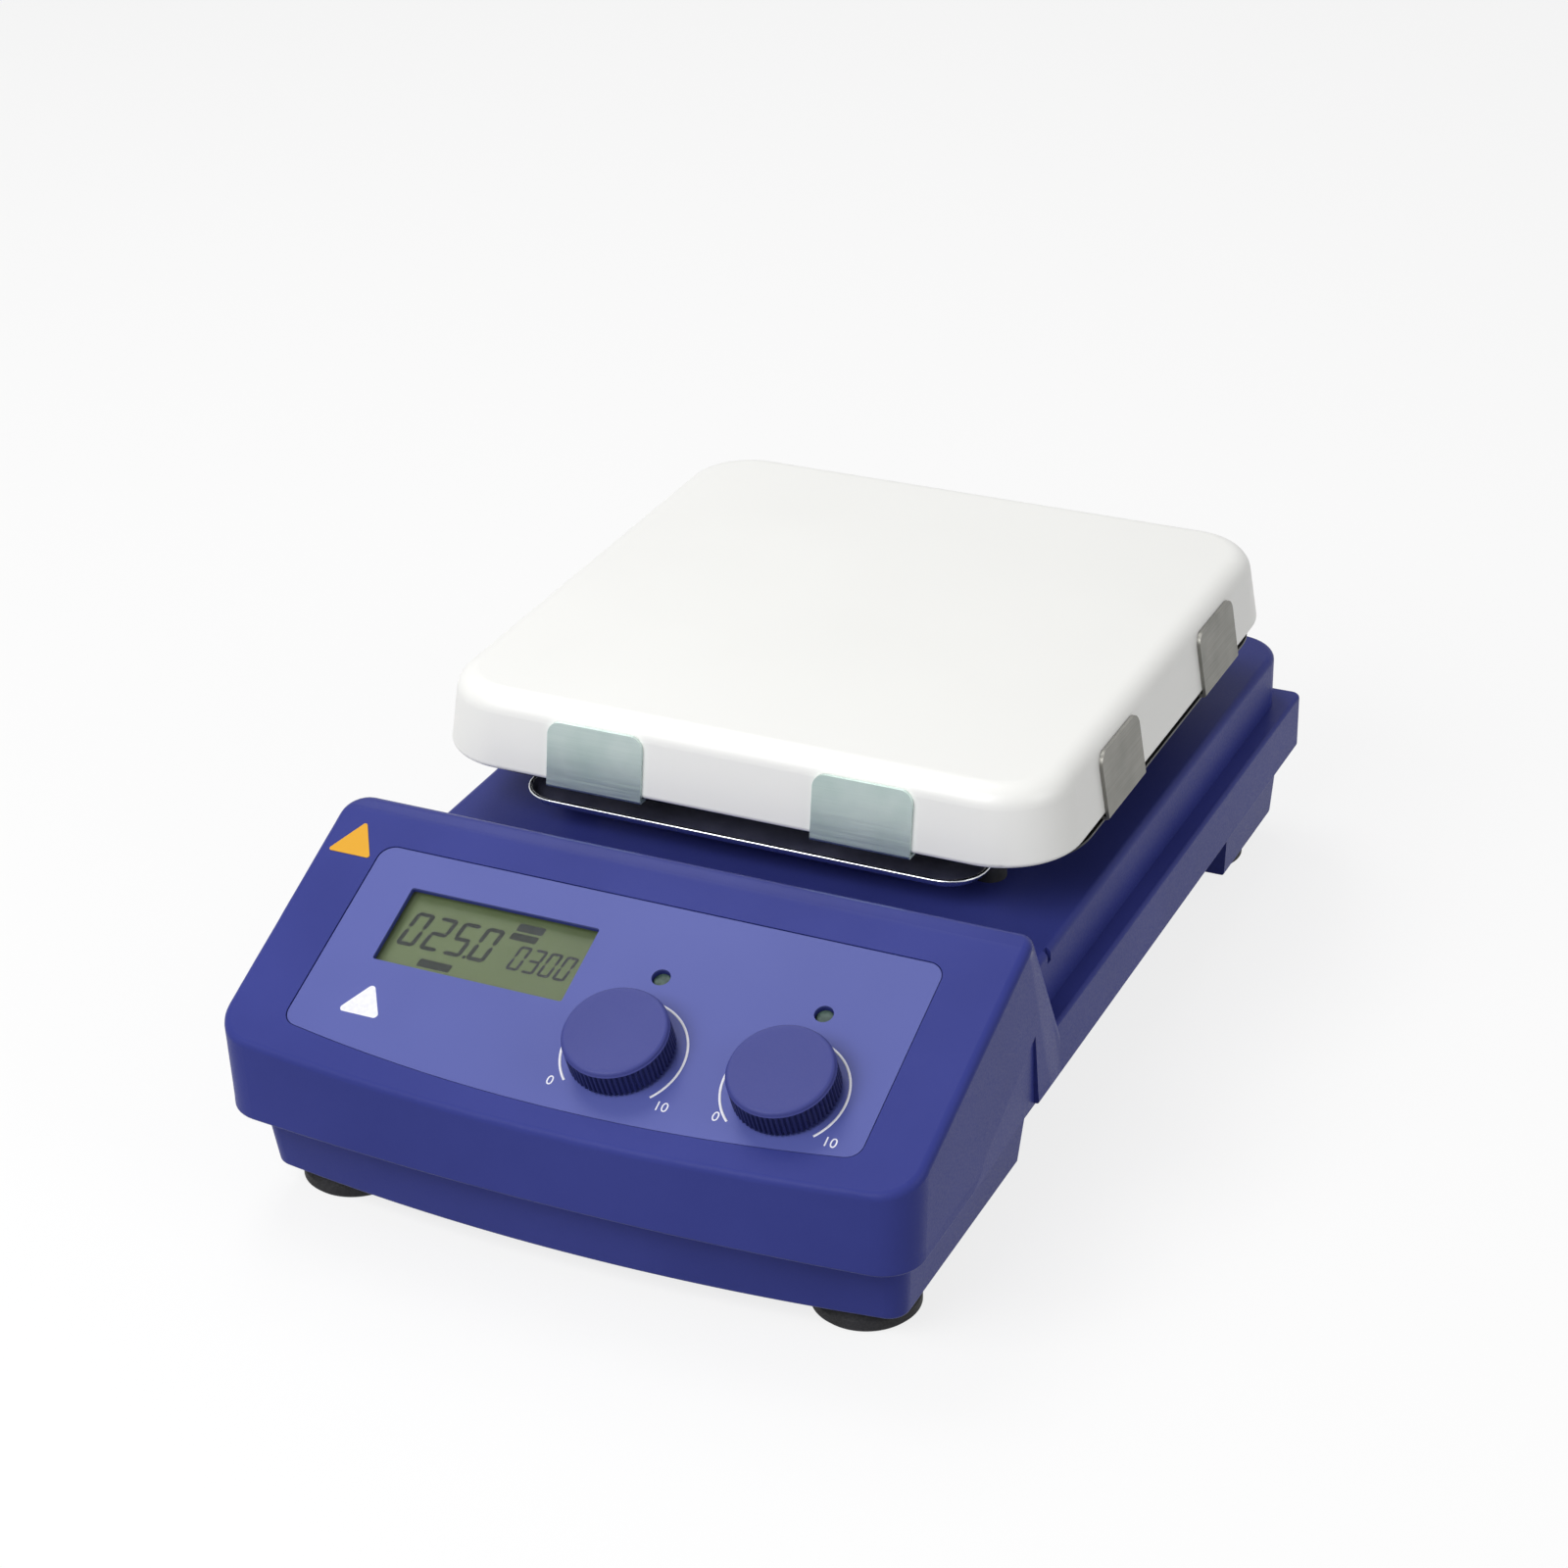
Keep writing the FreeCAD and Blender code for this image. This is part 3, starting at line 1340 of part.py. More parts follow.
def rod_bushing():
    """Threaded socket that takes the screw end of a support rod."""
    back = rear_y - rod_thread_length - rod_bushing_end
    flange = disc_along_y(rod_x, rod_z, rod_flange_radius, rear_y - rod_flange_thickness, rear_y)
    body = disc_along_y(rod_x, rod_z, rod_bushing_radius, back, rear_y - join_bite)
    bore = disc_along_y(rod_x, rod_z, rod_thread_radius, rear_y - rod_thread_length, rear_y + 1)
    return flange.fuse(body).cut(bore)


def all_nodes():
    """Every piece of the stirrer by name: a solid, or a list of like solids."""
    nodes = {
        "housing_cover": housing_cover(),
        "base_pan": base_pan(),
        "cover_screws": cover_screws(),
        "foot_screws": foot_screws(),
        "panel_overlay": panel_overlay(),
        "yellow_patch": yellow_patch(),
        "lcd_lens": lcd_lens(),
        "lcd_module": lcd_module(),
        "control_board": control_board(),
        "top_plate": top_plate(),
        "heating_element": heating_element(),
        "insulation_pad": insulation_pad(),
        "base_sheet": base_sheet(),
        "clip_screws": clip_screws(),
        "heat_shield": heat_shield(),
        "plate_posts": plate_posts(),
        "post_screws": post_screws(),
        "temperature_probe": temperature_probe(),
        "motor_bracket": motor_bracket(),
        "bracket_screws": bracket_screws(),
        "motor_stator": motor_stator(),
        "motor_shaft": motor_shaft(),
        "motor_rotor": motor_rotor(),
        "magnet_carrier": magnet_carrier(),
        "drive_magnets": drive_magnets(),
        "power_board": power_board(),
        "heatsink": heatsink(),
        "transformer": transformer(),
        "rear_panel": rear_panel(),
        "power_inlet": power_inlet(),
        "inlet_blades": inlet_blades(),
        "fuse_drawer": fuse_drawer(),
        "fuses": fuses(),
        "rocker_frame": rocker_frame(),
        "power_rocker": power_rocker(),
        "sensor_socket": sensor_socket(),
        "sensor_contacts": sensor_contacts(),
        "rod_bushing": rod_bushing(),
    }
    for name, x in knobs.items():
        nodes[name + "_indicator"] = indicator(x)
        nodes[name + "_pot"] = pot(x)
        nodes[name + "_pot_nut"] = pot_nut(x)
        nodes[name + "_shaft"] = control_shaft(x)
        nodes[name + "_knob"] = knob(x)
    for name, place in zip(("front_left", "front_right", "rear_left", "rear_right"), foot_places()):
        nodes["foot_" + name] = foot(*place)
    for side, name in enumerate(("front", "right", "rear", "left")):
        nodes["clips_" + name] = [clip(offset, side) for offset in (-clip_offset, clip_offset)]
    for name, z in bearing_levels().items():
        nodes[name] = bearing(z)
    return nodes


def write_parts():
    os.makedirs("parts", exist_ok=True)
    for name, shape in all_nodes().items():
        whole = Part.makeCompound(shape) if isinstance(shape, list) else shape
        whole.exportStep("parts/" + name + ".step")
        bounds = whole.BoundBox
        low = [round(v, 2) for v in (bounds.XMin, bounds.YMin, bounds.ZMin)]
        high = [round(v, 2) for v in (bounds.XMax, bounds.YMax, bounds.ZMax)]
        print(name, len(whole.Solids), whole.isValid(), round(whole.Volume), low, high)


write_parts()
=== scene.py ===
import json
import math

import bmesh
import bpy
from mathutils import Matrix, Vector


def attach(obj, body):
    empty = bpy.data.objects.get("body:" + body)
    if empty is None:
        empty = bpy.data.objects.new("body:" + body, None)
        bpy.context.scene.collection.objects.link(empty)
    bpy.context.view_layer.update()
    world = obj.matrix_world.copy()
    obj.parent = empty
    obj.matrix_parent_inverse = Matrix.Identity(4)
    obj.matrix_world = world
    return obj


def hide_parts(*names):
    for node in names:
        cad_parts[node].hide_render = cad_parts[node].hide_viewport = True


# Hotplate magnetic stirrer, dressed. Metres, in the frame's own axes: X across, Y to the rear, Z up.

MM = 0.001

# Camera, solved from the photograph's edges
CAMERA_AZIMUTH = 25.48
CAMERA_ELEVATION = 27.99
CAMERA_ROLL = -1.35
CAMERA_PLACE = Vector((396.6, -842.5, 570.4)) * MM
CAMERA_LENS = 81.78
CAMERA_FRAME = 36

# Lamps: place, aim, size and power in watts
LAMPS = {
    "key": ((-0.3, -1.0, 0.95), (0, 0, 0.08), (0.9, 0.7), 11.5),
    "side": ((1.3, -0.2, 0.7), (0, 0, 0.06), (0.6, 0.6), 3.2),
    "overhead": ((-0.5, 0.2, 1.35), (0, -0.08, 0.08), (0.6, 0.5), 3.9),
    "rear": ((-0.62, 0.7, 1.15), (0, -0.08, 0.09), (0.4, 0.3), 1.5),
}
WORLD_LIGHT = 0.3
FLOOR_REACH = 6.0
FLOOR_GLOW = 0.8

# Control panel, measured down the slope from the ridge, as in the frame
PANEL_SLOPE = math.radians(22.7)
RIDGE = Vector((0, -78.5, 90.4)) * MM
RIDGE_BACK = 2.0 * MM
RIDGE_BAND = 6.5 * MM
RIDGE_FADE = 2.0 * MM
RIDGE_DROP = 1.3 * MM
RIDGE_SKIN = (-5.0 * MM, -3.0 * MM)
RIDGE_GLOSS = 0.24
OVERLAY_TOP_SKIN = -0.2 * MM
DISPLAY_SKIN = -3.4 * MM

# Knobs: place, outside, hollow and finger flutes, and the radius beyond which the skirt's sides are coloured
# darker as painted shade
KNOB_DOWN = 64.9 * MM
KNOB_X = {"heat": 11.7 * MM, "stir": 59.8 * MM}
KNOB_RADIUS = 14.8 * MM
KNOB_GAP = 0.5 * MM
KNOB_HEIGHT = 9.2 * MM
KNOB_FOOT_ROUND = 0.25 * MM
KNOB_CROWN_HEIGHT = 1.3 * MM
KNOB_CROWN_INSET = 0.3 * MM
KNOB_CROWN_ROUND = 1.0 * MM
KNOB_DISH_EDGE = 2.4 * MM
KNOB_DISH = (0.05 * MM, 0.16 * MM, 0.2 * MM)
KNOB_ROOF = 1.7 * MM
KNOB_HOLLOW_RADIUS = 12.4 * MM
KNOB_HOLLOW_HEIGHT = 4.6 * MM
KNOB_HUB_RADIUS = 5.6 * MM
KNOB_HUB_LOW = 2.6 * MM
SHAFT_RADIUS = 3.0 * MM
KNOB_FLUTES = 64
FLUTE_DEPTH = 0.6 * MM
FLUTE_FADE = 0.7 * MM
FLUTE_INNER_RADIUS = 13.0 * MM
SHADED_SKIRT_RADIUS = 12.6 * MM

# Heat shield: centre, bottom, outer size, bead, and its section inside and outside as (inset, height)
PLATE_Y = 49.6 * MM
SHIELD_LOW = 74.86 * MM
SHIELD_HEIGHT = 3.5 * MM
SHIELD_HALF = (72.7 * MM, 92.0 * MM)
SHIELD_CORNER = 12.0 * MM
SHIELD_BEAD = 0.6 * MM
SHIELD_INSIDE = [(4.2 * MM, 0.8 * MM), (2.8 * MM, 1.0 * MM), (1.8 * MM, 1.6 * MM)]
SHIELD_OUTSIDE = [(0.8 * MM, 2.0 * MM), (1.4 * MM, 1.0 * MM), (2.4 * MM, 0.3 * MM), (3.8 * MM, 0)]

# Prints: an arc's shift from the knob, its radius and its ends in degrees, then numbers and plain triangle
INK = 0.03 * MM
DIAL_LINE = 0.7 * MM
DIAL_ARCS = {"heat": (0.4 * MM, 17.4 * MM, 226, -42), "stir": (-0.6 * MM, 17.3 * MM, 230, -42)}
NUMBER_SIZE = 4.2 * MM
DIAL_NUMBERS = {
    "heat": {"0": (-3.7 * MM, 78.6 * MM), "10": (29.2 * MM, 78.6 * MM)},
    "stir": {"0": (44.6 * MM, 77.6 * MM), "10": (77.0 * MM, 77.2 * MM)},
}
NOTICE_X = -66.0 * MM
NOTICE_DOWN = 72.5 * MM
NOTICE_WIDTH = 13.4 * MM
NOTICE_HEIGHT = 11.0 * MM
NOTICE_ROUND = 1.1 * MM

# Display: its readings, and plain boxes as (left, down, width, height)
DIGIT_SLANT = 0.16
LARGE_READING = {"text": "0250", "left": -69.0 * MM, "down": 45.4 * MM, "width": 5.7 * MM,
                 "height": 12.0 * MM, "bar": 1.35 * MM, "pitch": 7.4 * MM}
SMALL_READING = {"text": "0300", "left": -34.2 * MM, "down": 45.6 * MM, "width": 3.8 * MM,
                 "height": 8.6 * MM, "bar": 0.9 * MM, "pitch": 4.8 * MM}
LARGE_POINT = (-47.9 * MM, 45.4 * MM, 1.1 * MM, 1.1 * MM)
DARK_FIELDS = ((-59.5 * MM, 51.0 * MM, 10.2 * MM, 2.7 * MM), (-37.6 * MM, 35.7 * MM, 8.2 * MM, 2.4 * MM))
FAINT_FIELD = (-36.9 * MM, 32.6 * MM, 8.2 * MM, 2.7 * MM)

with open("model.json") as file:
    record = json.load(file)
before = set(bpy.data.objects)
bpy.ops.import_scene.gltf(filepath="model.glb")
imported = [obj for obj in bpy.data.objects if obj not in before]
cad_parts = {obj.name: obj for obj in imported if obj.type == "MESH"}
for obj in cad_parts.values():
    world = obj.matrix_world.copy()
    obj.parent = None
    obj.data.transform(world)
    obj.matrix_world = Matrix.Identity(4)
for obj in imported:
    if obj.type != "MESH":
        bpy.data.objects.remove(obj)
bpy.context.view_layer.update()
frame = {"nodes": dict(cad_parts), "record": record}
nodes = frame["nodes"]


def shade(hex_colour):
    """Linear colour of an sRGB hex value."""
    parts = [int(hex_colour[i:i + 2], 16) / 255 for i in (1, 3, 5)]
    linear = [c / 12.92 if c <= 0.04045 else ((c + 0.055) / 1.055) ** 2.4 for c in parts]
    return (*linear, 1.0)


def add(tree, kind, settings=None, **links):
    """Add a node with its settings, and its inputs as values or as sockets to link from."""
    node = tree.nodes.new(kind)
    for name, value in (settings or {}).items():
        setattr(node, name, value)
    for name, value in links.items():
        plain = name.replace("_", " ")
        key = int(name[1:]) if name[0] == "i" and name[1:].isdigit() else plain
        socket = node.inputs[key]
        if isinstance(value, bpy.types.NodeSocket):
            tree.links.new(value, socket)
        else:
            socket.default_value = value
    return node


def maths(tree, operation, *terms):
    """Output of a maths node, its terms given as numbers or sockets."""
    links = {"i" + str(n): term for n, term in enumerate(terms)}
    return add(tree, "ShaderNodeMath", {"operation": operation}, **links).outputs[0]


def vector_maths(tree, operation, *terms):
    """The same for vectors; what comes out as one number is the second output."""
    links = {"i" + str(n): term for n, term in enumerate(terms)}
    return add(tree, "ShaderNodeVectorMath", {"operation": operation}, **links).outputs


def new_material(name, **shader):
    """A material with one Principled shader whose plain sockets are set here."""
    material = bpy.data.materials.new(name)
    material.use_nodes = True
    tree = material.node_tree
    bsdf = tree.nodes["Principled BSDF"]
    for key, value in shader.items():
        bsdf.inputs[key.replace("_", " ")].default_value = value
    return material, tree, bsdf


def object_coords(tree, scale=(1, 1, 1)):
    """Place on the object in metres, drawn out along an axis by a scale under 1."""
    coords = add(tree, "ShaderNodeTexCoord")
    return add(tree, "ShaderNodeMapping", Vector=coords.outputs["Object"], Scale=scale).outputs[0]


def grain(tree, coords, size, detail=2.0, roughness=0.5):
    """Noise whose features are about one size across, in metres."""
    return add(tree, "ShaderNodeTexNoise", Vector=coords, Scale=1 / size, Detail=detail,
               Roughness=roughness).outputs["Fac"]


def between(tree, factor, low, high):
    """Colour that runs from one hex value to another."""
    mix = add(tree, "ShaderNodeMix", {"data_type": "RGBA"}, i0=factor)
    mix.inputs[6].default_value = shade(low)
    mix.inputs[7].default_value = shade(high)
    return mix.outputs[2]


def spread(tree, factor, low, high, start=0.35, end=0.65):
    """Number that runs from low to high as a noise factor runs over its middle."""
    return add(tree, "ShaderNodeMapRange", Value=factor, From_Min=start, From_Max=end, To_Min=low,
               To_Max=high).outputs[0]


def bump(tree, bsdf, height, depth, strength=1.0):
    """Relief of a real depth in metres."""
    node = add(tree, "ShaderNodeBump", Height=height, Distance=depth, Strength=strength)
    tree.links.new(node.outputs[0], bsdf.inputs["Normal"])


def moulded_abs(name, deep, light, texture=0.6 * MM, gloss=0.42, shine=0.5):
    """Moulded ABS: spark-eroded tool texture that breaks up a satin highlight."""
    material, tree, bsdf = new_material(name, Roughness=gloss, IOR=1.53, Specular_IOR_Level=shine)
    coords = object_coords(tree)
    cloud = grain(tree, coords, 45 * MM, 3)
    fine = grain(tree, coords, texture, 2)
    tree.links.new(between(tree, spread(tree, cloud, 0, 1), deep, light), bsdf.inputs["Base Color"])
    tree.links.new(spread(tree, fine, gloss - 0.05, gloss + 0.07), bsdf.inputs["Roughness"])
    bump(tree, bsdf, fine, 0.035 * MM, 0.5)
    return material


def roll_ridge(material):
    """The ridge is rolled over, and rubbed smooth by hands: it leans back and draws a soft highlight."""
    tree = material.node_tree
    bsdf = tree.nodes["Principled BSDF"]
    grain_bump = bsdf.inputs["Normal"].links[0].from_node
    grain_gloss = bsdf.inputs["Roughness"].links[0].from_socket
    from_ridge = vector_maths(tree, "SUBTRACT", object_coords(tree), tuple(RIDGE))[0]
    fall, rise = math.sin(PANEL_SLOPE), math.cos(PANEL_SLOPE)
    down = vector_maths(tree, "DOT_PRODUCT", from_ridge, (0, -rise, -fall))[1]
    out = vector_maths(tree, "DOT_PRODUCT", from_ridge, (0, -fall, rise))[1]
    lean = add(tree, "ShaderNodeMapRange", {"interpolation_type": "SMOOTHSTEP"}, i0=down, i1=-RIDGE_BACK,
               i2=RIDGE_BAND, i3=-RIDGE_DROP, i4=0.0)
    rolled = add(tree, "ShaderNodeBump", Height=lean.outputs[0], Distance=1.0)
    tree.links.new(rolled.outputs[0], grain_bump.inputs["Normal"])
    near = add(tree, "ShaderNodeMapRange", {"interpolation_type": "SMOOTHSTEP"}, i0=down, i1=RIDGE_BAND,
               i2=RIDGE_BAND - RIDGE_FADE, i3=0.0, i4=1.0)
    top = add(tree, "ShaderNodeMapRange", i0=out, i1=RIDGE_SKIN[0], i2=RIDGE_SKIN[1], i3=0.0, i4=1.0)
    worn = maths(tree, "MULTIPLY", near.outputs[0], top.outputs[0])
    gloss = add(tree, "ShaderNodeMix", i0=worn, i2=grain_gloss, i3=RIDGE_GLOSS)
    tree.links.new(gloss.outputs[0], bsdf.inputs["Roughness"])


def printed_film(name, deep, light):
    """Velvet polycarbonate overlay, printed on its back: finer grained than the housing."""
    material, tree, bsdf = new_material(name, IOR=1.58, Specular_IOR_Level=0.15)
    coords = object_coords(tree)
    velvet = grain(tree, coords, 0.35 * MM, 1)
    cloud = grain(tree, coords, 60 * MM, 2)
    tree.links.new(between(tree, spread(tree, cloud, 0, 1), deep, light), bsdf.inputs["Base Color"])
    tree.links.new(spread(tree, velvet, 0.37, 0.43), bsdf.inputs["Roughness"])
    bump(tree, bsdf, velvet, 0.008 * MM, 0.5)
    return material


def white_coating(name):
    """Vitreous coating, fired on: a soft gloss over a faint orange peel, a little uneven."""
    material, tree, bsdf = new_material(name, IOR=1.52, Coat_Weight=0.15, Coat_Roughness=0.2)
    coords = object_coords(tree)
    peel = grain(tree, coords, 2.2 * MM, 1)
    cloud = grain(tree, coords, 60 * MM, 2, 0.4)
    white = between(tree, spread(tree, cloud, 0, 1, 0.2, 0.8), "#f6f6f3", "#f9f9f6")
    tree.links.new(white, bsdf.inputs["Base Color"])
    tree.links.new(spread(tree, cloud, 0.36, 0.42, 0.2, 0.8), bsdf.inputs["Roughness"])
    bump(tree, bsdf, peel, 0.006 * MM, 0.3)
    return material


def brushed_stainless(name, low, high, along="x", rough=(0.24, 0.4)):
    """Stainless sheet, belt-brushed: fine parallel scratches that draw out the highlight."""
    material, tree, bsdf = new_material(name, Metallic=1.0, Anisotropic=0.5)
    stretch = {"x": (0.02, 1, 1), "y": (1, 0.02, 1), "z": (1, 1, 0.02)}[along]
    coords = object_coords(tree, stretch)
    scratch = grain(tree, coords, 0.5 * MM, 3, 0.7)
    cloud = grain(tree, object_coords(tree), 14 * MM, 2)
    tree.links.new(between(tree, spread(tree, cloud, 0, 1), low, high), bsdf.inputs["Base Color"])
    tree.links.new(spread(tree, scratch, *rough), bsdf.inputs["Roughness"])
    bump(tree, bsdf, scratch, 0.01 * MM, 0.5)
    return material


def plated_metal(name, low, high, rough=(0.22, 0.36)):
    """Turned or plated metal: faint tool marks and an uneven shine."""
    material, tree, bsdf = new_material(name, Metallic=1.0)
    coords = object_coords(tree)
    marks = grain(tree, coords, 0.8 * MM, 3)
    cloud = grain(tree, coords, 6 * MM, 2)
    tree.links.new(between(tree, spread(tree, cloud, 0, 1), low, high), bsdf.inputs["Base Color"])
    tree.links.new(spread(tree, marks, *rough), bsdf.inputs["Roughness"])
    bump(tree, bsdf, marks, 0.01 * MM, 0.4)
    return material


def moulded_rubber(name):
    """Black rubber: matt, slightly greyed by dust on its fine grain."""
    material, tree, bsdf = new_material(name, IOR=1.52, Specular_IOR_Level=0.35)
    coords = object_coords(tree)
    dust = grain(tree, coords, 5 * MM, 4, 0.65)
    fine = grain(tree, coords, 0.5 * MM, 2)
    tree.links.new(between(tree, spread(tree, dust, 0, 1), "#121214", "#222226"), bsdf.inputs["Base Color"])
    tree.links.new(spread(tree, fine, 0.62, 0.8), bsdf.inputs["Roughness"])
    bump(tree, bsdf, fine, 0.05 * MM, 0.5)
    return material


def dull_solid(name, low, high, size, rough=0.8, depth=0.05 * MM):
    """Unpolished material, such as fired ceramic, mica, fibre or iron, with its own mottling."""
    material, tree, bsdf = new_material(name, Roughness=rough)
    coords = object_coords(tree)
    mottle = grain(tree, coords, size, 4, 0.6)
    fine = grain(tree, coords, 0.4 * MM, 2)
    tree.links.new(between(tree, spread(tree, mottle, 0, 1), low, high), bsdf.inputs["Base Color"])
    bump(tree, bsdf, fine, depth, 0.6)
    return material


def clear_pane(name, cover, low, high):
    """Thin clear wall: most light goes straight through, the rest shows a faint tint and gloss."""
    material, tree, bsdf = new_material(name, IOR=1.3, Alpha=cover)
    haze = grain(tree, object_coords(tree), 8 * MM, 2)
    tree.links.new(between(tree, spread(tree, haze, 0, 1), low, high), bsdf.inputs["Base Color"])
    tree.links.new(spread(tree, haze, 0.1, 0.16), bsdf.inputs["Roughness"])
    return material


def display_back(name):
    """Reflective liquid-crystal display: olive green, with the polariser's soft mottling."""
    material, tree, bsdf = new_material(name, Roughness=0.45)
    coords = object_coords(tree)
    cloud = grain(tree, coords, 30 * MM, 2)
    tree.links.new(between(tree, spread(tree, cloud, 0, 1), "#485a25", "#51642c"), bsdf.inputs["Base Color"])
    bump(tree, bsdf, grain(tree, coords, 0.3 * MM), 0.005 * MM, 0.4)
    return material


def indicator_tint(name):
    """Unlit indicator: tinted acrylic, grey-green and slightly cloudy."""
    material, tree, bsdf = new_material(name, Roughness=0.35, IOR=1.3)
    cloud = grain(tree, object_coords(tree), 2 * MM, 2)
    tree.links.new(between(tree, spread(tree, cloud, 0, 1), "#2c403c", "#4a5f57"), bsdf.inputs["Base Color"])
    return material


def slot_materials():
    """The finish of each material slot of the frame."""
    return {
        "housing_blue": moulded_abs("blue_abs_housing", "#373e85", "#3b428b", 0.6 * MM, 0.38, 0.06),
        "overlay_blue": printed_film("printed_polycarbonate", "#535ba0", "#575fa5"),
        "display_glass": clear_pane("clear_acrylic", 0.1, "#7f8878", "#8b9484"),
        "display_green": display_back("reflective_display"),
        "indicator_lens": indicator_tint("tinted_acrylic"),
        "knob_blue": moulded_abs("blue_abs_knob", "#383e82", "#3c4287", 0.45 * MM, 0.52, 0.3),
        "black_plastic": moulded_abs("black_abs", "#17181a", "#1f2022", 0.5 * MM, 0.48),
        "rocker_black": moulded_abs("polished_black_abs", "#101113", "#151618", 1.5 * MM, 0.2),
        "patch_yellow": printed_film("yellow_vinyl", "#dc9e1e", "#e2a62a"),
        "coating_white": white_coating("fired_white_coating"),
        "stainless": brushed_stainless("brushed_stainless", "#c2d4ce", "#cfddd8", "x", (0.45, 0.6)),
        "bright_sheet": brushed_stainless("bright_rolled_sheet", "#d3d6d9", "#e0e3e6", "x", (0.16, 0.28)),
        "screw_steel": plated_metal("zinc_plated_steel", "#9a9b9c", "#b5b6b8"),
        "shaft_steel": plated_metal("ground_steel", "#a6a7a9", "#bcbdbf", (0.15, 0.26)),
        "aluminium": plated_metal("machined_aluminium", "#b4b6b9", "#c8cacc", (0.28, 0.42)),
        "magnet_nickel": plated_metal("nickel_plated_magnet", "#b8b3a6", "#cbc6ba", (0.12, 0.22)),
        "post_ceramic": dull_solid("dark_fired_ceramic", "#232426", "#333436", 3 * MM),
        "fibre_white": dull_solid("pressed_ceramic_fibre", "#cfccc4", "#e2dfd8", 2 * MM, 0.95, 0.2 * MM),
        "mica": dull_solid("mica_sheet", "#8d7b5c", "#a8977a", 5 * MM, 0.55),
        "board_green": dull_solid("circuit_board_laminate", "#1d5a35", "#24683e", 6 * MM, 0.4),
        "motor_grey": plated_metal("lacquered_steel_can", "#6c7073", "#7b7f82", (0.35, 0.5)),
        "panel_grey": moulded_abs("powder_coated_sheet", "#2c2d31", "#35363a", 0.9 * MM, 0.6),
        "transformer_iron": dull_solid("laminated_iron", "#34322f", "#45423e", 1.2 * MM, 0.6),
        "contact_brass": plated_metal("plated_brass", "#c2a15c", "#d4b674", (0.18, 0.3)),
        "fuse_glass": clear_pane("fuse_glass_tube", 0.35, "#a9b4b2", "#8b9484"),
        "foot_rubber": moulded_rubber("moulded_rubber"),
    }


def dress_cad_nodes(materials):
    """Every node of the frame gets its slot's finish, apart from the strips and sheet that look otherwise."""
    # The clips at left and right get a darker, warmer grey copy of the stainless than those at front and
    # rear: painted shade, as they face away from the key lamp.
    side_clips_painted_shade = brushed_stainless("stainless_side_clips_painted_shade", "#7b7b76", "#888782", "y", (0.38, 0.5))
    # The base sheet under the plate's rim is coloured near black.
    dark_sheet = brushed_stainless("near_black_base_sheet", "#2b2c2f", "#3a3b3e", "x", (0.3, 0.45))
    own_finish = {"clips_left": side_clips_painted_shade, "clips_right": side_clips_painted_shade, "base_sheet": dark_sheet}
    for part in frame["record"]["subparts"]:
        node = nodes[part["node"]]
        node.data.materials.clear()
        node.data.materials.append(own_finish.get(part["node"], materials[part["material_slot"]]))


def screen_ink(name, low, high, gloss=0.5, shine=0.5):
    """Screen-printed ink: a thin opaque film whose density wanders a little."""
    material, tree, bsdf = new_material(name, Roughness=gloss, Specular_IOR_Level=shine)
    coverage = grain(tree, object_coords(tree), 1.2 * MM, 3)
    tree.links.new(between(tree, spread(tree, coverage, 0, 1), low, high), bsdf.inputs["Base Color"])
    return material


def panel_place(x, down, out):
    """Matrix from a drawing on the panel, x across and y up the slope, to the frame."""
    across = Vector((1, 0, 0))
    upward = Vector((0, math.cos(PANEL_SLOPE), math.sin(PANEL_SLOPE)))
    outward = Vector((0, -math.sin(PANEL_SLOPE), math.cos(PANEL_SLOPE)))
    turn = Matrix((across, upward, outward)).transposed().to_4x4()
    return Matrix.Translation(RIDGE + across * x - upward * down + outward * out) @ turn


def piece_from(mesh, name, material, body, place=None, replaced=None):
    """A finished piece at the origin, with its place in its mesh, riding on its body."""
    if place is not None:
        mesh.transform(place)
    mesh.materials.clear()
    mesh.materials.append(material)
    piece = bpy.data.objects.new(name, mesh)
    bpy.context.scene.collection.objects.link(piece)
    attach(piece, body)
    if replaced:
        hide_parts(replaced)
    return piece


def prisms(name, outlines, depth):
    """Mesh of flat outlines, each drawn counter-clockwise as (x, y), given a thin depth."""
    mesh = bpy.data.meshes.new(name)
    shape = bmesh.new()
    for outline in outlines:
        low = [shape.verts.new((x, y, 0)) for x, y in outline]
        high = [shape.verts.new((x, y, depth)) for x, y in outline]
        shape.faces.new(high)
        shape.faces.new(low[::-1])
        for i in range(len(low)):
            j = (i + 1) % len(low)
            shape.faces.new((low[i], low[j], high[j], high[i]))
    shape.to_mesh(mesh)
    shape.free()
    return mesh


def sockets_of(group):
    """Identifiers of a node group's sockets by their names."""
    return {item.name: item.identifier for item in group.interface.items_tree if item.item_type == "SOCKET"}


def new_tree(name, inputs):
    """Geometry node tree with named number inputs and a geometry in and out."""
    tree = bpy.data.node_groups.new(name, "GeometryNodeTree")
    tree.interface.new_socket("Geometry", in_out="OUTPUT", socket_type="NodeSocketGeometry")
    tree.interface.new_socket("Start shape", in_out="INPUT", socket_type="NodeSocketGeometry")
    for label, kind in inputs.items():
        tree.interface.new_socket(label, in_out="INPUT", socket_type=kind)
    tree.interface.new_socket("Finish", in_out="INPUT", socket_type="NodeSocketMaterial")
    return tree, tree.nodes.new("NodeGroupInput"), tree.nodes.new("NodeGroupOutput")


def finish_tree(tree, source, out, geometry):
    """End a tree as the export needs it: instances made real, and a material set."""
    real = add(tree, "GeometryNodeRealizeInstances", Geometry=geometry)
    dressed = add(tree, "GeometryNodeSetMaterial", Geometry=real.outputs[0],
                  Material=source.outputs["Finish"])
    tree.links.new(dressed.outputs[0], out.inputs[0])


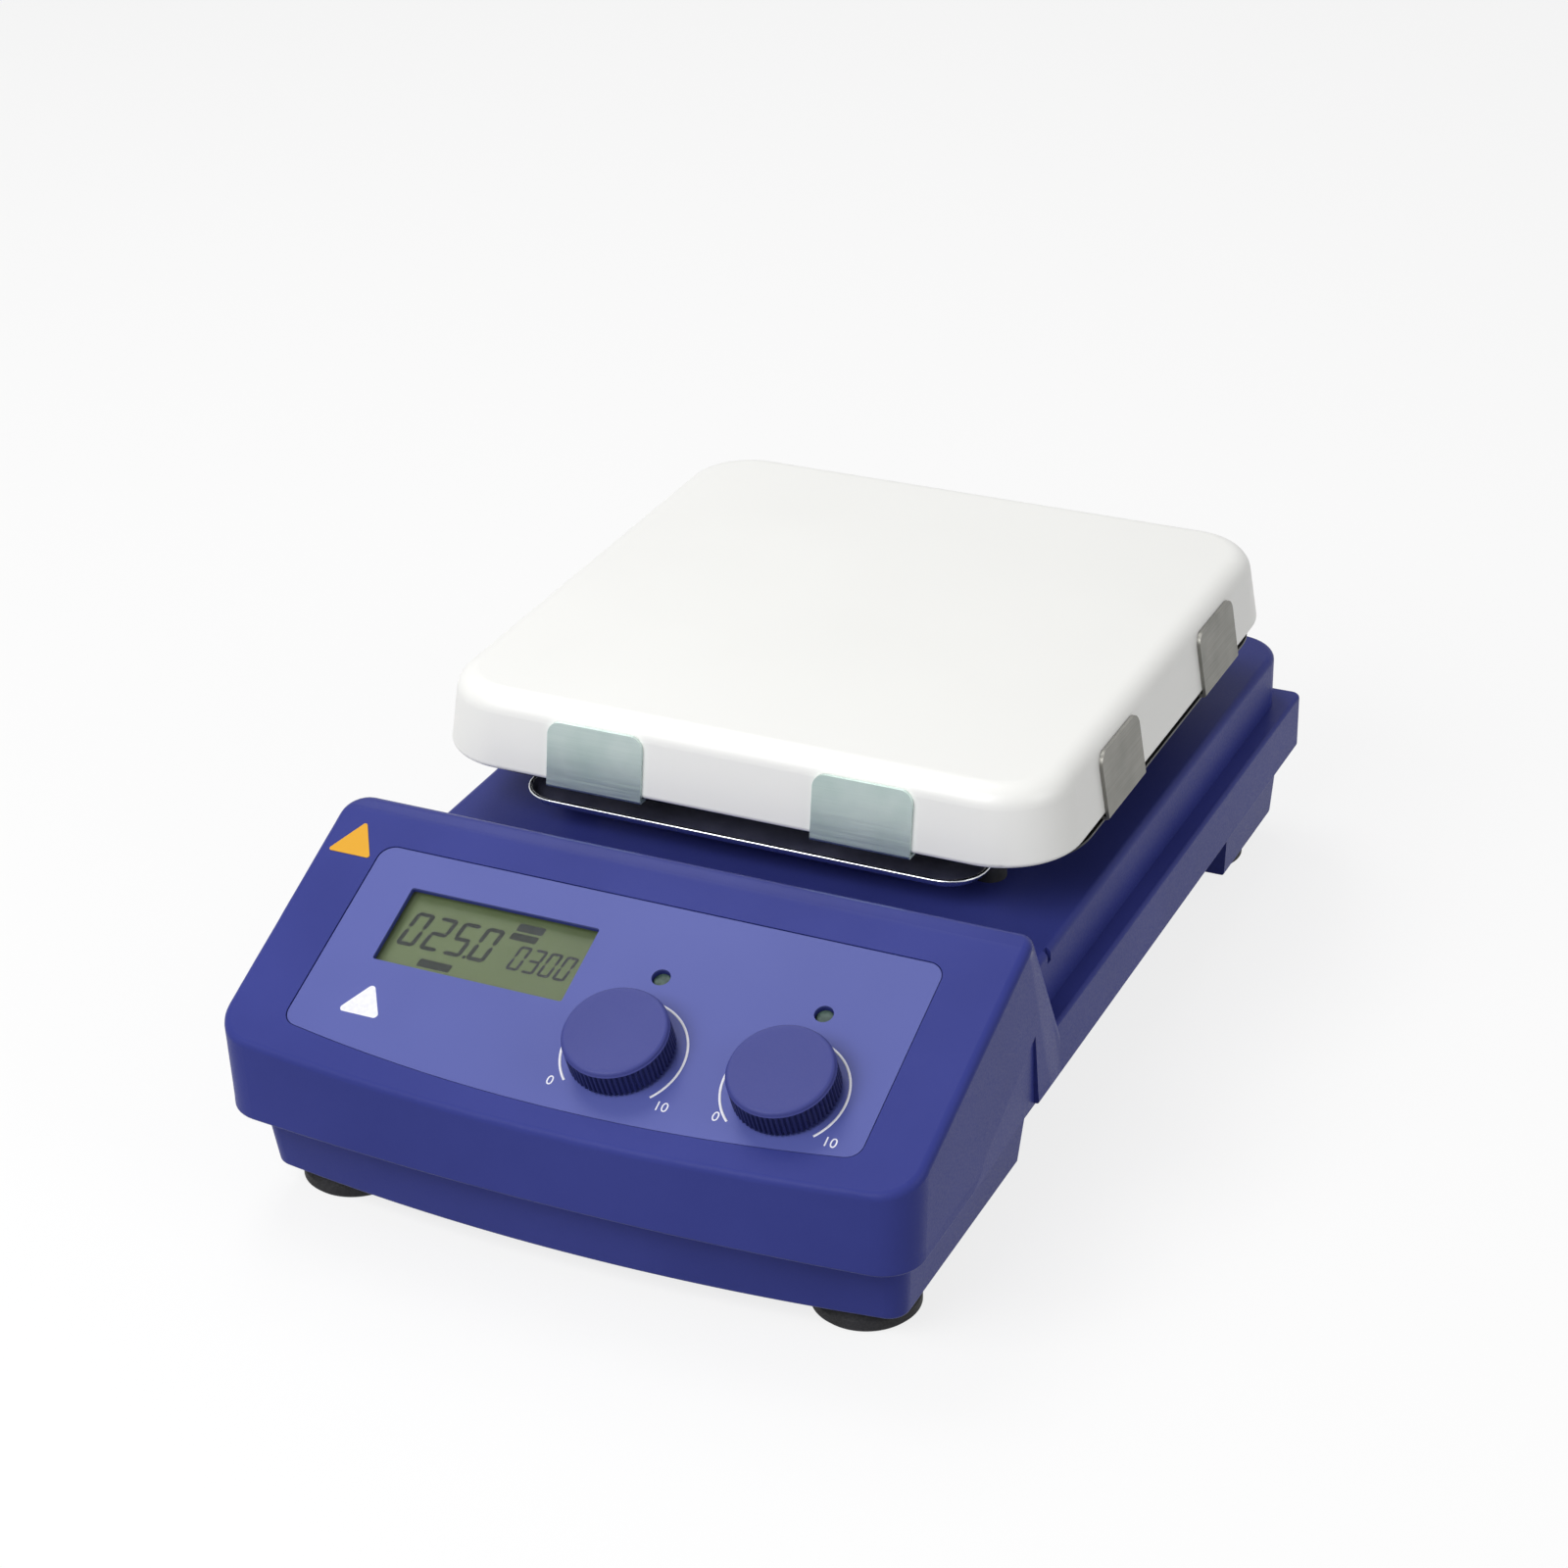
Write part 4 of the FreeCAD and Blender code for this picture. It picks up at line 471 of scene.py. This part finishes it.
def grown_mesh(name, tree, start, values):
    """Plain mesh of a geometry node tree, run once on a start mesh with the values given by name."""
    holder = bpy.data.objects.new(name, start)
    bpy.context.scene.collection.objects.link(holder)
    modifier = holder.modifiers.new("grow", "NODES")
    modifier.node_group = tree
    keys = sockets_of(tree)
    for label, value in values.items():
        modifier[keys[label]] = value
    graph = bpy.context.evaluated_depsgraph_get()
    mesh = bpy.data.meshes.new_from_object(holder.evaluated_get(graph))
    holder.modifiers.remove(modifier)
    bpy.data.objects.remove(holder)
    mesh.name = name
    return mesh


def arc_tree():
    """Printed line round a dial: an arc of flat tape."""
    names = ("Radius", "Start", "Sweep", "Line width", "Ink depth")
    tree, source, out = new_tree("dial_line", {name: "NodeSocketFloat" for name in names})
    arc = add(tree, "GeometryNodeCurveArc", {"mode": "RADIUS"}, Resolution=120,
              Radius=source.outputs["Radius"], Start_Angle=source.outputs["Start"],
              Sweep_Angle=source.outputs["Sweep"])
    tape = add(tree, "GeometryNodeCurvePrimitiveQuadrilateral", {"mode": "RECTANGLE"},
               Width=source.outputs["Line width"], Height=source.outputs["Ink depth"])
    line = add(tree, "GeometryNodeCurveToMesh", Curve=arc.outputs[0], Profile_Curve=tape.outputs[0])
    line.inputs["Fill Caps"].default_value = True
    finish_tree(tree, source, out, line.outputs[0])
    return tree


def dial_arc(name, ink):
    """The white line from the low end of the dial over its top to the high end."""
    shift, radius, low, high = DIAL_ARCS[name]
    tree = bpy.data.node_groups.get("dial_line") or arc_tree()
    values = {"Radius": radius, "Start": math.radians(high), "Sweep": math.radians(low - high),
              "Line width": DIAL_LINE, "Ink depth": INK, "Finish": ink}
    mesh = grown_mesh(name + "_dial_line", tree, bpy.data.meshes.new("blank"), values)
    place = panel_place(KNOB_X[name] + shift, KNOB_DOWN, OVERLAY_TOP_SKIN + INK / 2)
    piece_from(mesh, name + "_dial_line", ink, "housing", place)


def dial_numbers(name, ink):
    """The lowest and highest number, outside the ends of the dial's line."""
    for text, (x, down) in DIAL_NUMBERS[name].items():
        curve = bpy.data.curves.new(name + "_number", "FONT")
        curve.body = text
        curve.size = NUMBER_SIZE
        curve.align_x = "CENTER"
        curve.align_y = "CENTER"
        curve.extrude = INK / 2
        holder = bpy.data.objects.new(name + "_number", curve)
        bpy.context.scene.collection.objects.link(holder)
        mesh = bpy.data.meshes.new_from_object(holder)
        bpy.data.objects.remove(holder)
        piece_from(mesh, name + "_number_" + text, ink, "housing",
                   panel_place(x, down, OVERLAY_TOP_SKIN + INK / 2))


def rounded_outline(corners, radius, steps=5):
    """Counter-clockwise outline with each corner turned round at the radius."""
    points = []
    for i, corner in enumerate(corners):
        here = Vector(corner)
        back = (Vector(corners[i - 1]) - here).normalized()
        ahead = (Vector(corners[(i + 1) % len(corners)]) - here).normalized()
        half = back.angle(ahead) / 2
        centre = here + (back + ahead).normalized() * (radius / math.sin(half))
        start = here + back * (radius / math.tan(half)) - centre
        end = here + ahead * (radius / math.tan(half)) - centre
        for k in range(steps + 1):
            blend = start.lerp(end, k / steps).normalized() * radius
            points.append(tuple(centre + blend))
    return points


def notice_mark(ink):
    """Plain rounded triangle, printed white on the overlay, with nothing inside it."""
    half = NOTICE_WIDTH / 2
    corners = [(-half, 0), (half, 0), (0, NOTICE_HEIGHT)]
    mesh = prisms("notice_mark", [rounded_outline(corners, NOTICE_ROUND)], INK)
    piece_from(mesh, "notice_mark", ink, "housing",
               panel_place(NOTICE_X, NOTICE_DOWN, OVERLAY_TOP_SKIN))


def segment(name, width, height, bar):
    """One bar of a seven-segment figure: a long hexagon, in the figure's own square frame."""
    mid = height / 2
    gap = bar * 0.16
    upright = {"upper left": (0, mid), "upper right": (width, mid), "lower left": (0, 0),
               "lower right": (width, 0)}
    if name in upright:
        x, y = upright[name]
        x += bar / 2 if x == 0 else -bar / 2
        low, high = y + gap + bar / 2, y + mid - gap - bar / 2
        return [(x, low - bar / 2), (x + bar / 2, low), (x + bar / 2, high), (x, high + bar / 2),
                (x - bar / 2, high), (x - bar / 2, low)]
    y = {"top": height - bar / 2, "middle": mid, "bottom": bar / 2}[name]
    low, high = gap + bar / 2, width - gap - bar / 2
    return [(low, y - bar / 2), (high, y - bar / 2), (high + bar / 2, y), (high, y + bar / 2),
            (low, y + bar / 2), (low - bar / 2, y)]


FIGURES = {
    "0": "top upper_left upper_right lower_left lower_right bottom",
    "2": "top upper_right middle lower_left bottom",
    "3": "top upper_right middle lower_right bottom",
    "5": "top upper_left middle lower_right bottom",
}


def reading(text, left, down, width, height, bar, pitch):
    """Outlines of a row of slanted figures; left and down place the first one's lower left corner."""
    outlines = []
    for i, figure in enumerate(text):
        for name in FIGURES[figure].split():
            bars = segment(name.replace("_", " "), width, height, bar)
            outlines.append([(left + i * pitch + x + y * DIGIT_SLANT, y - down) for x, y in bars])
    return outlines


def slanted_box(left, down, width, height):
    """Outline of a plain box, slanted as the figures are, with round corners."""
    corners = [(left, -down), (left + width, -down), (left + width + height * DIGIT_SLANT, height - down),
               (left + height * DIGIT_SLANT, height - down)]
    return rounded_outline(corners, 0.4 * MM, 3)


def display_readings():
    """What the liquid-crystal display shows: two readings, a point and three plain dark fields."""
    dark = screen_ink("display_segments_dark", "#0c0c1c", "#121226", 0.4, 0.05)
    faint = screen_ink("display_segments_faint", "#1d1d2c", "#262638", 0.4, 0.05)
    large = reading(**LARGE_READING) + [slanted_box(*LARGE_POINT)]
    large += [slanted_box(*field) for field in DARK_FIELDS]
    small = reading(**SMALL_READING) + [slanted_box(*FAINT_FIELD)]
    for name, outlines, ink in (("display_large_reading", large, dark),
                                ("display_small_reading", small, faint)):
        mesh = prisms(name, outlines, INK)
        piece_from(mesh, name, ink, "housing", panel_place(0, 0, DISPLAY_SKIN))


def lathe(name, profile, turns):
    """Closed mesh of a profile of (radius, height) points turned round the Z axis."""
    mesh = bpy.data.meshes.new(name)
    shape = bmesh.new()
    rings = []
    for radius, height in profile:
        if radius < 1e-6:
            rings.append([shape.verts.new((0, 0, height))])
        else:
            rings.append([shape.verts.new((radius * math.cos(2 * math.pi * i / turns),
                                           radius * math.sin(2 * math.pi * i / turns), height))
                          for i in range(turns)])
    for inner, outer in zip(rings, rings[1:]):
        for i in range(turns):
            j = (i + 1) % turns
            ends = [inner[i % len(inner)], outer[i % len(outer)],
                    outer[j % len(outer)], inner[j % len(inner)]]
            corners = [v for n, v in enumerate(ends) if v not in ends[:n]]
            shape.faces.new(corners)
    bmesh.ops.recalc_face_normals(shape, faces=shape.faces)
    shape.to_mesh(mesh)
    shape.free()
    return mesh


def flute_tree():
    """Finger hold of a knob: upright flutes pressed into the skirt, which fade out under its crown."""
    names = ("Flutes", "Depth", "Skirt radius", "Crown height", "Fade")
    tree, source, out = new_tree("knob_flutes", {name: "NodeSocketFloat" for name in names})
    place = add(tree, "GeometryNodeInputPosition").outputs[0]
    parts = add(tree, "ShaderNodeSeparateXYZ", Vector=place).outputs
    angle = maths(tree, "ARCTAN2", parts["Y"], parts["X"])
    wave = maths(tree, "COSINE", maths(tree, "MULTIPLY", angle, source.outputs["Flutes"]))
    hollow = add(tree, "ShaderNodeMapRange", {"interpolation_type": "SMOOTHSTEP"}, Value=wave,
                 From_Min=-0.75, From_Max=0.45, To_Min=1, To_Max=0)
    flat = add(tree, "ShaderNodeCombineXYZ", X=parts["X"], Y=parts["Y"]).outputs[0]
    radius = vector_maths(tree, "LENGTH", flat)["Value"]
    outside = maths(tree, "GREATER_THAN", radius, source.outputs["Skirt radius"])
    crown = source.outputs["Crown height"]
    fading = add(tree, "ShaderNodeMapRange", {"interpolation_type": "SMOOTHSTEP"}, Value=parts["Z"],
                 From_Min=maths(tree, "SUBTRACT", crown, source.outputs["Fade"]), From_Max=crown, To_Min=1,
                 To_Max=0)
    share = maths(tree, "MULTIPLY", hollow.outputs[0], outside)
    faded = maths(tree, "MULTIPLY", share, fading.outputs[0])
    inward = maths(tree, "MULTIPLY", maths(tree, "MULTIPLY", faded, source.outputs["Depth"]), -1)
    outward = vector_maths(tree, "NORMALIZE", flat)[0]
    push = add(tree, "ShaderNodeVectorMath", {"operation": "SCALE"}, i0=outward, Scale=inward)
    moved = add(tree, "GeometryNodeSetPosition", Geometry=source.outputs["Start shape"],
                Offset=push.outputs[0])
    finish_tree(tree, source, out, moved.outputs[0])
    return tree


def rounded_rim(radius, height, turn, steps=6):
    """Profile points of a quarter round, from the side to the top."""
    return [(radius - turn + turn * math.cos(math.radians(90 * i / steps)),
             height - turn + turn * math.sin(math.radians(90 * i / steps))) for i in range(steps + 1)]


def second_finish(piece, material, faces):
    """Some faces of a finished piece get another material."""
    piece.data.materials.append(material)
    for index in faces:
        piece.data.polygons[index].material_index = 1


def build_knob(name, plastic, skirt_shade):
    """Moulded knob: fluted skirt, softly rounded crown, hollow below with a hub for the shaft; the skirt's
    sides take a darker copy of the plastic as painted shade.
    """
    low, top = KNOB_GAP, KNOB_GAP + KNOB_HEIGHT
    crown = top - KNOB_CROWN_HEIGHT
    roof = top - KNOB_ROOF
    hollow = low + KNOB_HOLLOW_HEIGHT
    skirt = [(KNOB_RADIUS - KNOB_FOOT_ROUND, low), (KNOB_RADIUS, low + KNOB_FOOT_ROUND)]
    skirt += [(KNOB_RADIUS, low + (crown - low) * i / 8) for i in range(1, 9)]
    rim = rounded_rim(KNOB_RADIUS - KNOB_CROWN_INSET, top, KNOB_CROWN_ROUND)
    dish = [(KNOB_RADIUS - KNOB_DISH_EDGE, top - KNOB_DISH[0]), (KNOB_RADIUS * 0.5, top - KNOB_DISH[1]),
            (0, top - KNOB_DISH[2])]
    under = [(0, roof), (SHAFT_RADIUS, roof), (SHAFT_RADIUS, KNOB_HUB_LOW), (KNOB_HUB_RADIUS, KNOB_HUB_LOW),
             (KNOB_HUB_RADIUS, hollow), (KNOB_HOLLOW_RADIUS, hollow), (KNOB_HOLLOW_RADIUS, low)]
    profile = under + skirt + rim + dish
    start = lathe(name + "_knob_turned", profile, KNOB_FLUTES * 8)
    tree = bpy.data.node_groups.get("knob_flutes") or flute_tree()
    values = {"Flutes": float(KNOB_FLUTES), "Depth": FLUTE_DEPTH, "Skirt radius": FLUTE_INNER_RADIUS,
              "Crown height": crown, "Fade": FLUTE_FADE, "Finish": plastic}
    mesh = grown_mesh(name + "_knob_moulded", tree, start, values)
    mesh.shade_smooth()
    mesh.set_sharp_from_angle(angle=math.radians(40))
    # Faces on the skirt's sides get the darker blue: painted shade where the skirt faces down and away from
    # the lamps.
    shaded_skirt_faces = [face.index for face in mesh.polygons if face.center.xy.length > SHADED_SKIRT_RADIUS
                  and face.center.z < crown and abs(face.normal.z) < 0.6]
    piece = piece_from(mesh, name + "_knob_moulded", plastic, name + "_control",
                       panel_place(KNOB_X[name], KNOB_DOWN, 0), name + "_knob")
    second_finish(piece, skirt_shade, shaded_skirt_faces)


def rounded_rectangle(half_x, half_y, corner, inset, steps=8):
    """Points of a rectangle with round corners, drawn inward by an inset, always as many."""
    points = []
    for quarter, (side_x, side_y) in enumerate(((1, 1), (-1, 1), (-1, -1), (1, -1))):
        for i in range(steps + 1):
            angle = math.radians(90 * (quarter + i / steps))
            points.append((side_x * (half_x - corner) + (corner - inset) * math.cos(angle),
                           side_y * (half_y - corner) + (corner - inset) * math.sin(angle)))
    return points


def pressed_tray(name, half_x, half_y, corner, profile):
    """Sheet pressed to a tray: a closed profile of (inset, height) carried round a rectangle."""
    mesh = bpy.data.meshes.new(name)
    shape = bmesh.new()
    rings = [[shape.verts.new((x, y, height)) for x, y in rounded_rectangle(half_x, half_y, corner, inset)]
             for inset, height in profile]
    for inner, outer in zip(rings, rings[1:]):
        for i in range(len(inner)):
            j = (i + 1) % len(inner)
            shape.faces.new((inner[i], inner[j], outer[j], outer[i]))
    shape.faces.new(rings[0])
    shape.faces.new(rings[-1])
    bmesh.ops.recalc_face_normals(shape, faces=shape.faces)
    shape.to_mesh(mesh)
    shape.free()
    mesh.shade_smooth()
    mesh.set_sharp_from_angle(angle=math.radians(50))
    return mesh


def heat_shield(sheet, painted_inside):
    """Tray under the hot top: its rim is curled to a bright bead; its inside floor is coloured blue-grey as
    painted reflection of the blue housing and painted shade under the top.
    """
    low = SHIELD_HEIGHT - SHIELD_BEAD
    bead = [(SHIELD_BEAD * (1 + math.cos(math.radians(a))), low + SHIELD_BEAD * math.sin(math.radians(a)))
            for a in range(-40, 221, 20)]
    section = SHIELD_INSIDE + bead + SHIELD_OUTSIDE
    mesh = pressed_tray("pressed_heat_shield", *SHIELD_HALF, SHIELD_CORNER, section)
    # The inside floor takes the blue-grey colour: painted reflection and painted shade.
    inner_faces = [face.index for face in mesh.polygons if face.normal.z > 0.1 and face.center.z < low]
    tray = piece_from(mesh, "pressed_heat_shield", sheet, "housing",
                      Matrix.Translation((0, PLATE_Y, SHIELD_LOW)), "heat_shield")
    second_finish(tray, painted_inside, inner_faces)


def camera():
    """Camera of the photograph."""
    azimuth = math.radians(CAMERA_AZIMUTH)
    elevation = math.radians(CAMERA_ELEVATION)
    back = Vector((math.sin(azimuth) * math.cos(elevation), -math.cos(azimuth) * math.cos(elevation),
                   math.sin(elevation)))
    right = (-back).cross(Vector((0, 0, 1))).normalized()
    up = right.cross(-back)
    roll = math.radians(CAMERA_ROLL)
    rolled_right = right * math.cos(roll) + up * math.sin(roll)
    rolled_up = up * math.cos(roll) - right * math.sin(roll)
    data = bpy.data.cameras.new("camera")
    data.lens = CAMERA_LENS
    data.sensor_width = CAMERA_FRAME
    data.clip_start = 0.05
    data.clip_end = 20
    cam = bpy.data.objects.new("camera", data)
    bpy.context.scene.collection.objects.link(cam)
    axes = Matrix((rolled_right, rolled_up, back)).transposed().to_4x4()
    cam.matrix_world = Matrix.Translation(CAMERA_PLACE) @ axes
    bpy.context.scene.camera = cam


def area_lamp(name, place, aim, size, power):
    """White rectangular lamp turned to its aim."""
    data = bpy.data.lights.new(name, "AREA")
    data.shape = "RECTANGLE"
    data.size, data.size_y = size
    data.energy = power
    lamp = bpy.data.objects.new(name, data)
    lamp.location = place
    lamp.rotation_euler = (Vector(aim) - Vector(place)).to_track_quat("-Z", "Y").to_euler()
    bpy.context.scene.collection.objects.link(lamp)


def seen_rays(tree, path):
    """1 for the rays that show the background: the camera's, and those off metal or through glass."""
    mirrored = maths(tree, "MAXIMUM", path.outputs["Is Glossy Ray"], path.outputs["Is Transmission Ray"])
    return maths(tree, "MAXIMUM", path.outputs["Is Camera Ray"], mirrored)


def studio():
    """Pale floor and background, soft light from the front, above, the right and the rear."""
    world = bpy.data.worlds.new("studio")
    world.use_nodes = True
    tree = world.node_tree
    sky = tree.nodes["Background"]
    sky.inputs["Color"].default_value = (1, 1, 1, 1)
    sky.inputs["Strength"].default_value = WORLD_LIGHT
    seen = add(tree, "ShaderNodeBackground", Color=(1, 1, 1, 1), Strength=1.0)
    path = add(tree, "ShaderNodeLightPath")
    mix = add(tree, "ShaderNodeMixShader", i0=seen_rays(tree, path), i1=sky.outputs[0], i2=seen.outputs[0])
    tree.links.new(mix.outputs[0], tree.nodes["World Output"].inputs["Surface"])
    bpy.context.scene.world = world
    for name, lamp in LAMPS.items():
        area_lamp(name, *lamp)
    mesh = bpy.data.meshes.new("floor")
    corners = [(x * FLOOR_REACH, y * FLOOR_REACH, 0) for x, y in ((-1, -1), (1, -1), (1, 1), (-1, 1))]
    mesh.from_pydata(corners, [], [(0, 1, 2, 3)])
    floor = bpy.data.objects.new("floor", mesh)
    bpy.context.scene.collection.objects.link(floor)
    floor.data.materials.append(floor_paper())


def floor_paper():
    """White paper sweep: it keeps the shadow, and is near white to the camera."""
    material, tree, bsdf = new_material("paper_sweep", Roughness=0.9)
    path = add(tree, "ShaderNodeLightPath")
    seen = seen_rays(tree, path)
    tree.links.new(between(tree, seen, "#b0b0b0", "#fafafa"), bsdf.inputs["Base Color"])
    lit = add(tree, "ShaderNodeEmission", Color=(1, 1, 1, 1), Strength=1.0)
    share = maths(tree, "MULTIPLY", seen, FLOOR_GLOW)
    mix = add(tree, "ShaderNodeMixShader", i0=share, i1=bsdf.outputs[0], i2=lit.outputs[0])
    tree.links.new(mix.outputs[0], tree.nodes["Material Output"].inputs["Surface"])
    return material


bpy.context.scene.view_settings.view_transform = "Standard"
materials = slot_materials()
roll_ridge(materials["housing_blue"])
dress_cad_nodes(materials)
white_print = screen_ink("white_screen_print", "#e6e6f2", "#f0f0f8")
# Darker copy of the knob plastic for the skirt's sides: painted shade, the same plastic as the crown.
knob_skirt_painted_shade = moulded_abs("blue_abs_knob_skirt_painted_shade", "#1e2356", "#232960", 0.45 * MM, 0.5, 0.3)
for knob_name in KNOB_X:
    build_knob(knob_name, materials["knob_blue"], knob_skirt_painted_shade)
    dial_arc(knob_name, white_print)
    dial_numbers(knob_name, white_print)
notice_mark(white_print)
display_readings()
# Rough blue-grey sheet for the tray's inside: painted reflection of the housing and painted shade under the
# top.
shield_inside_painted_shade = dull_solid("heat_shield_inside_painted_reflection", "#4a4c66", "#5c5e78", 9 * MM, 0.45)
heat_shield(materials["bright_sheet"], shield_inside_painted_shade)
camera()
studio()


def plain(corners):
    """Corners as plain lists of numbers."""
    return [[float(v) for v in corner] for corner in corners]
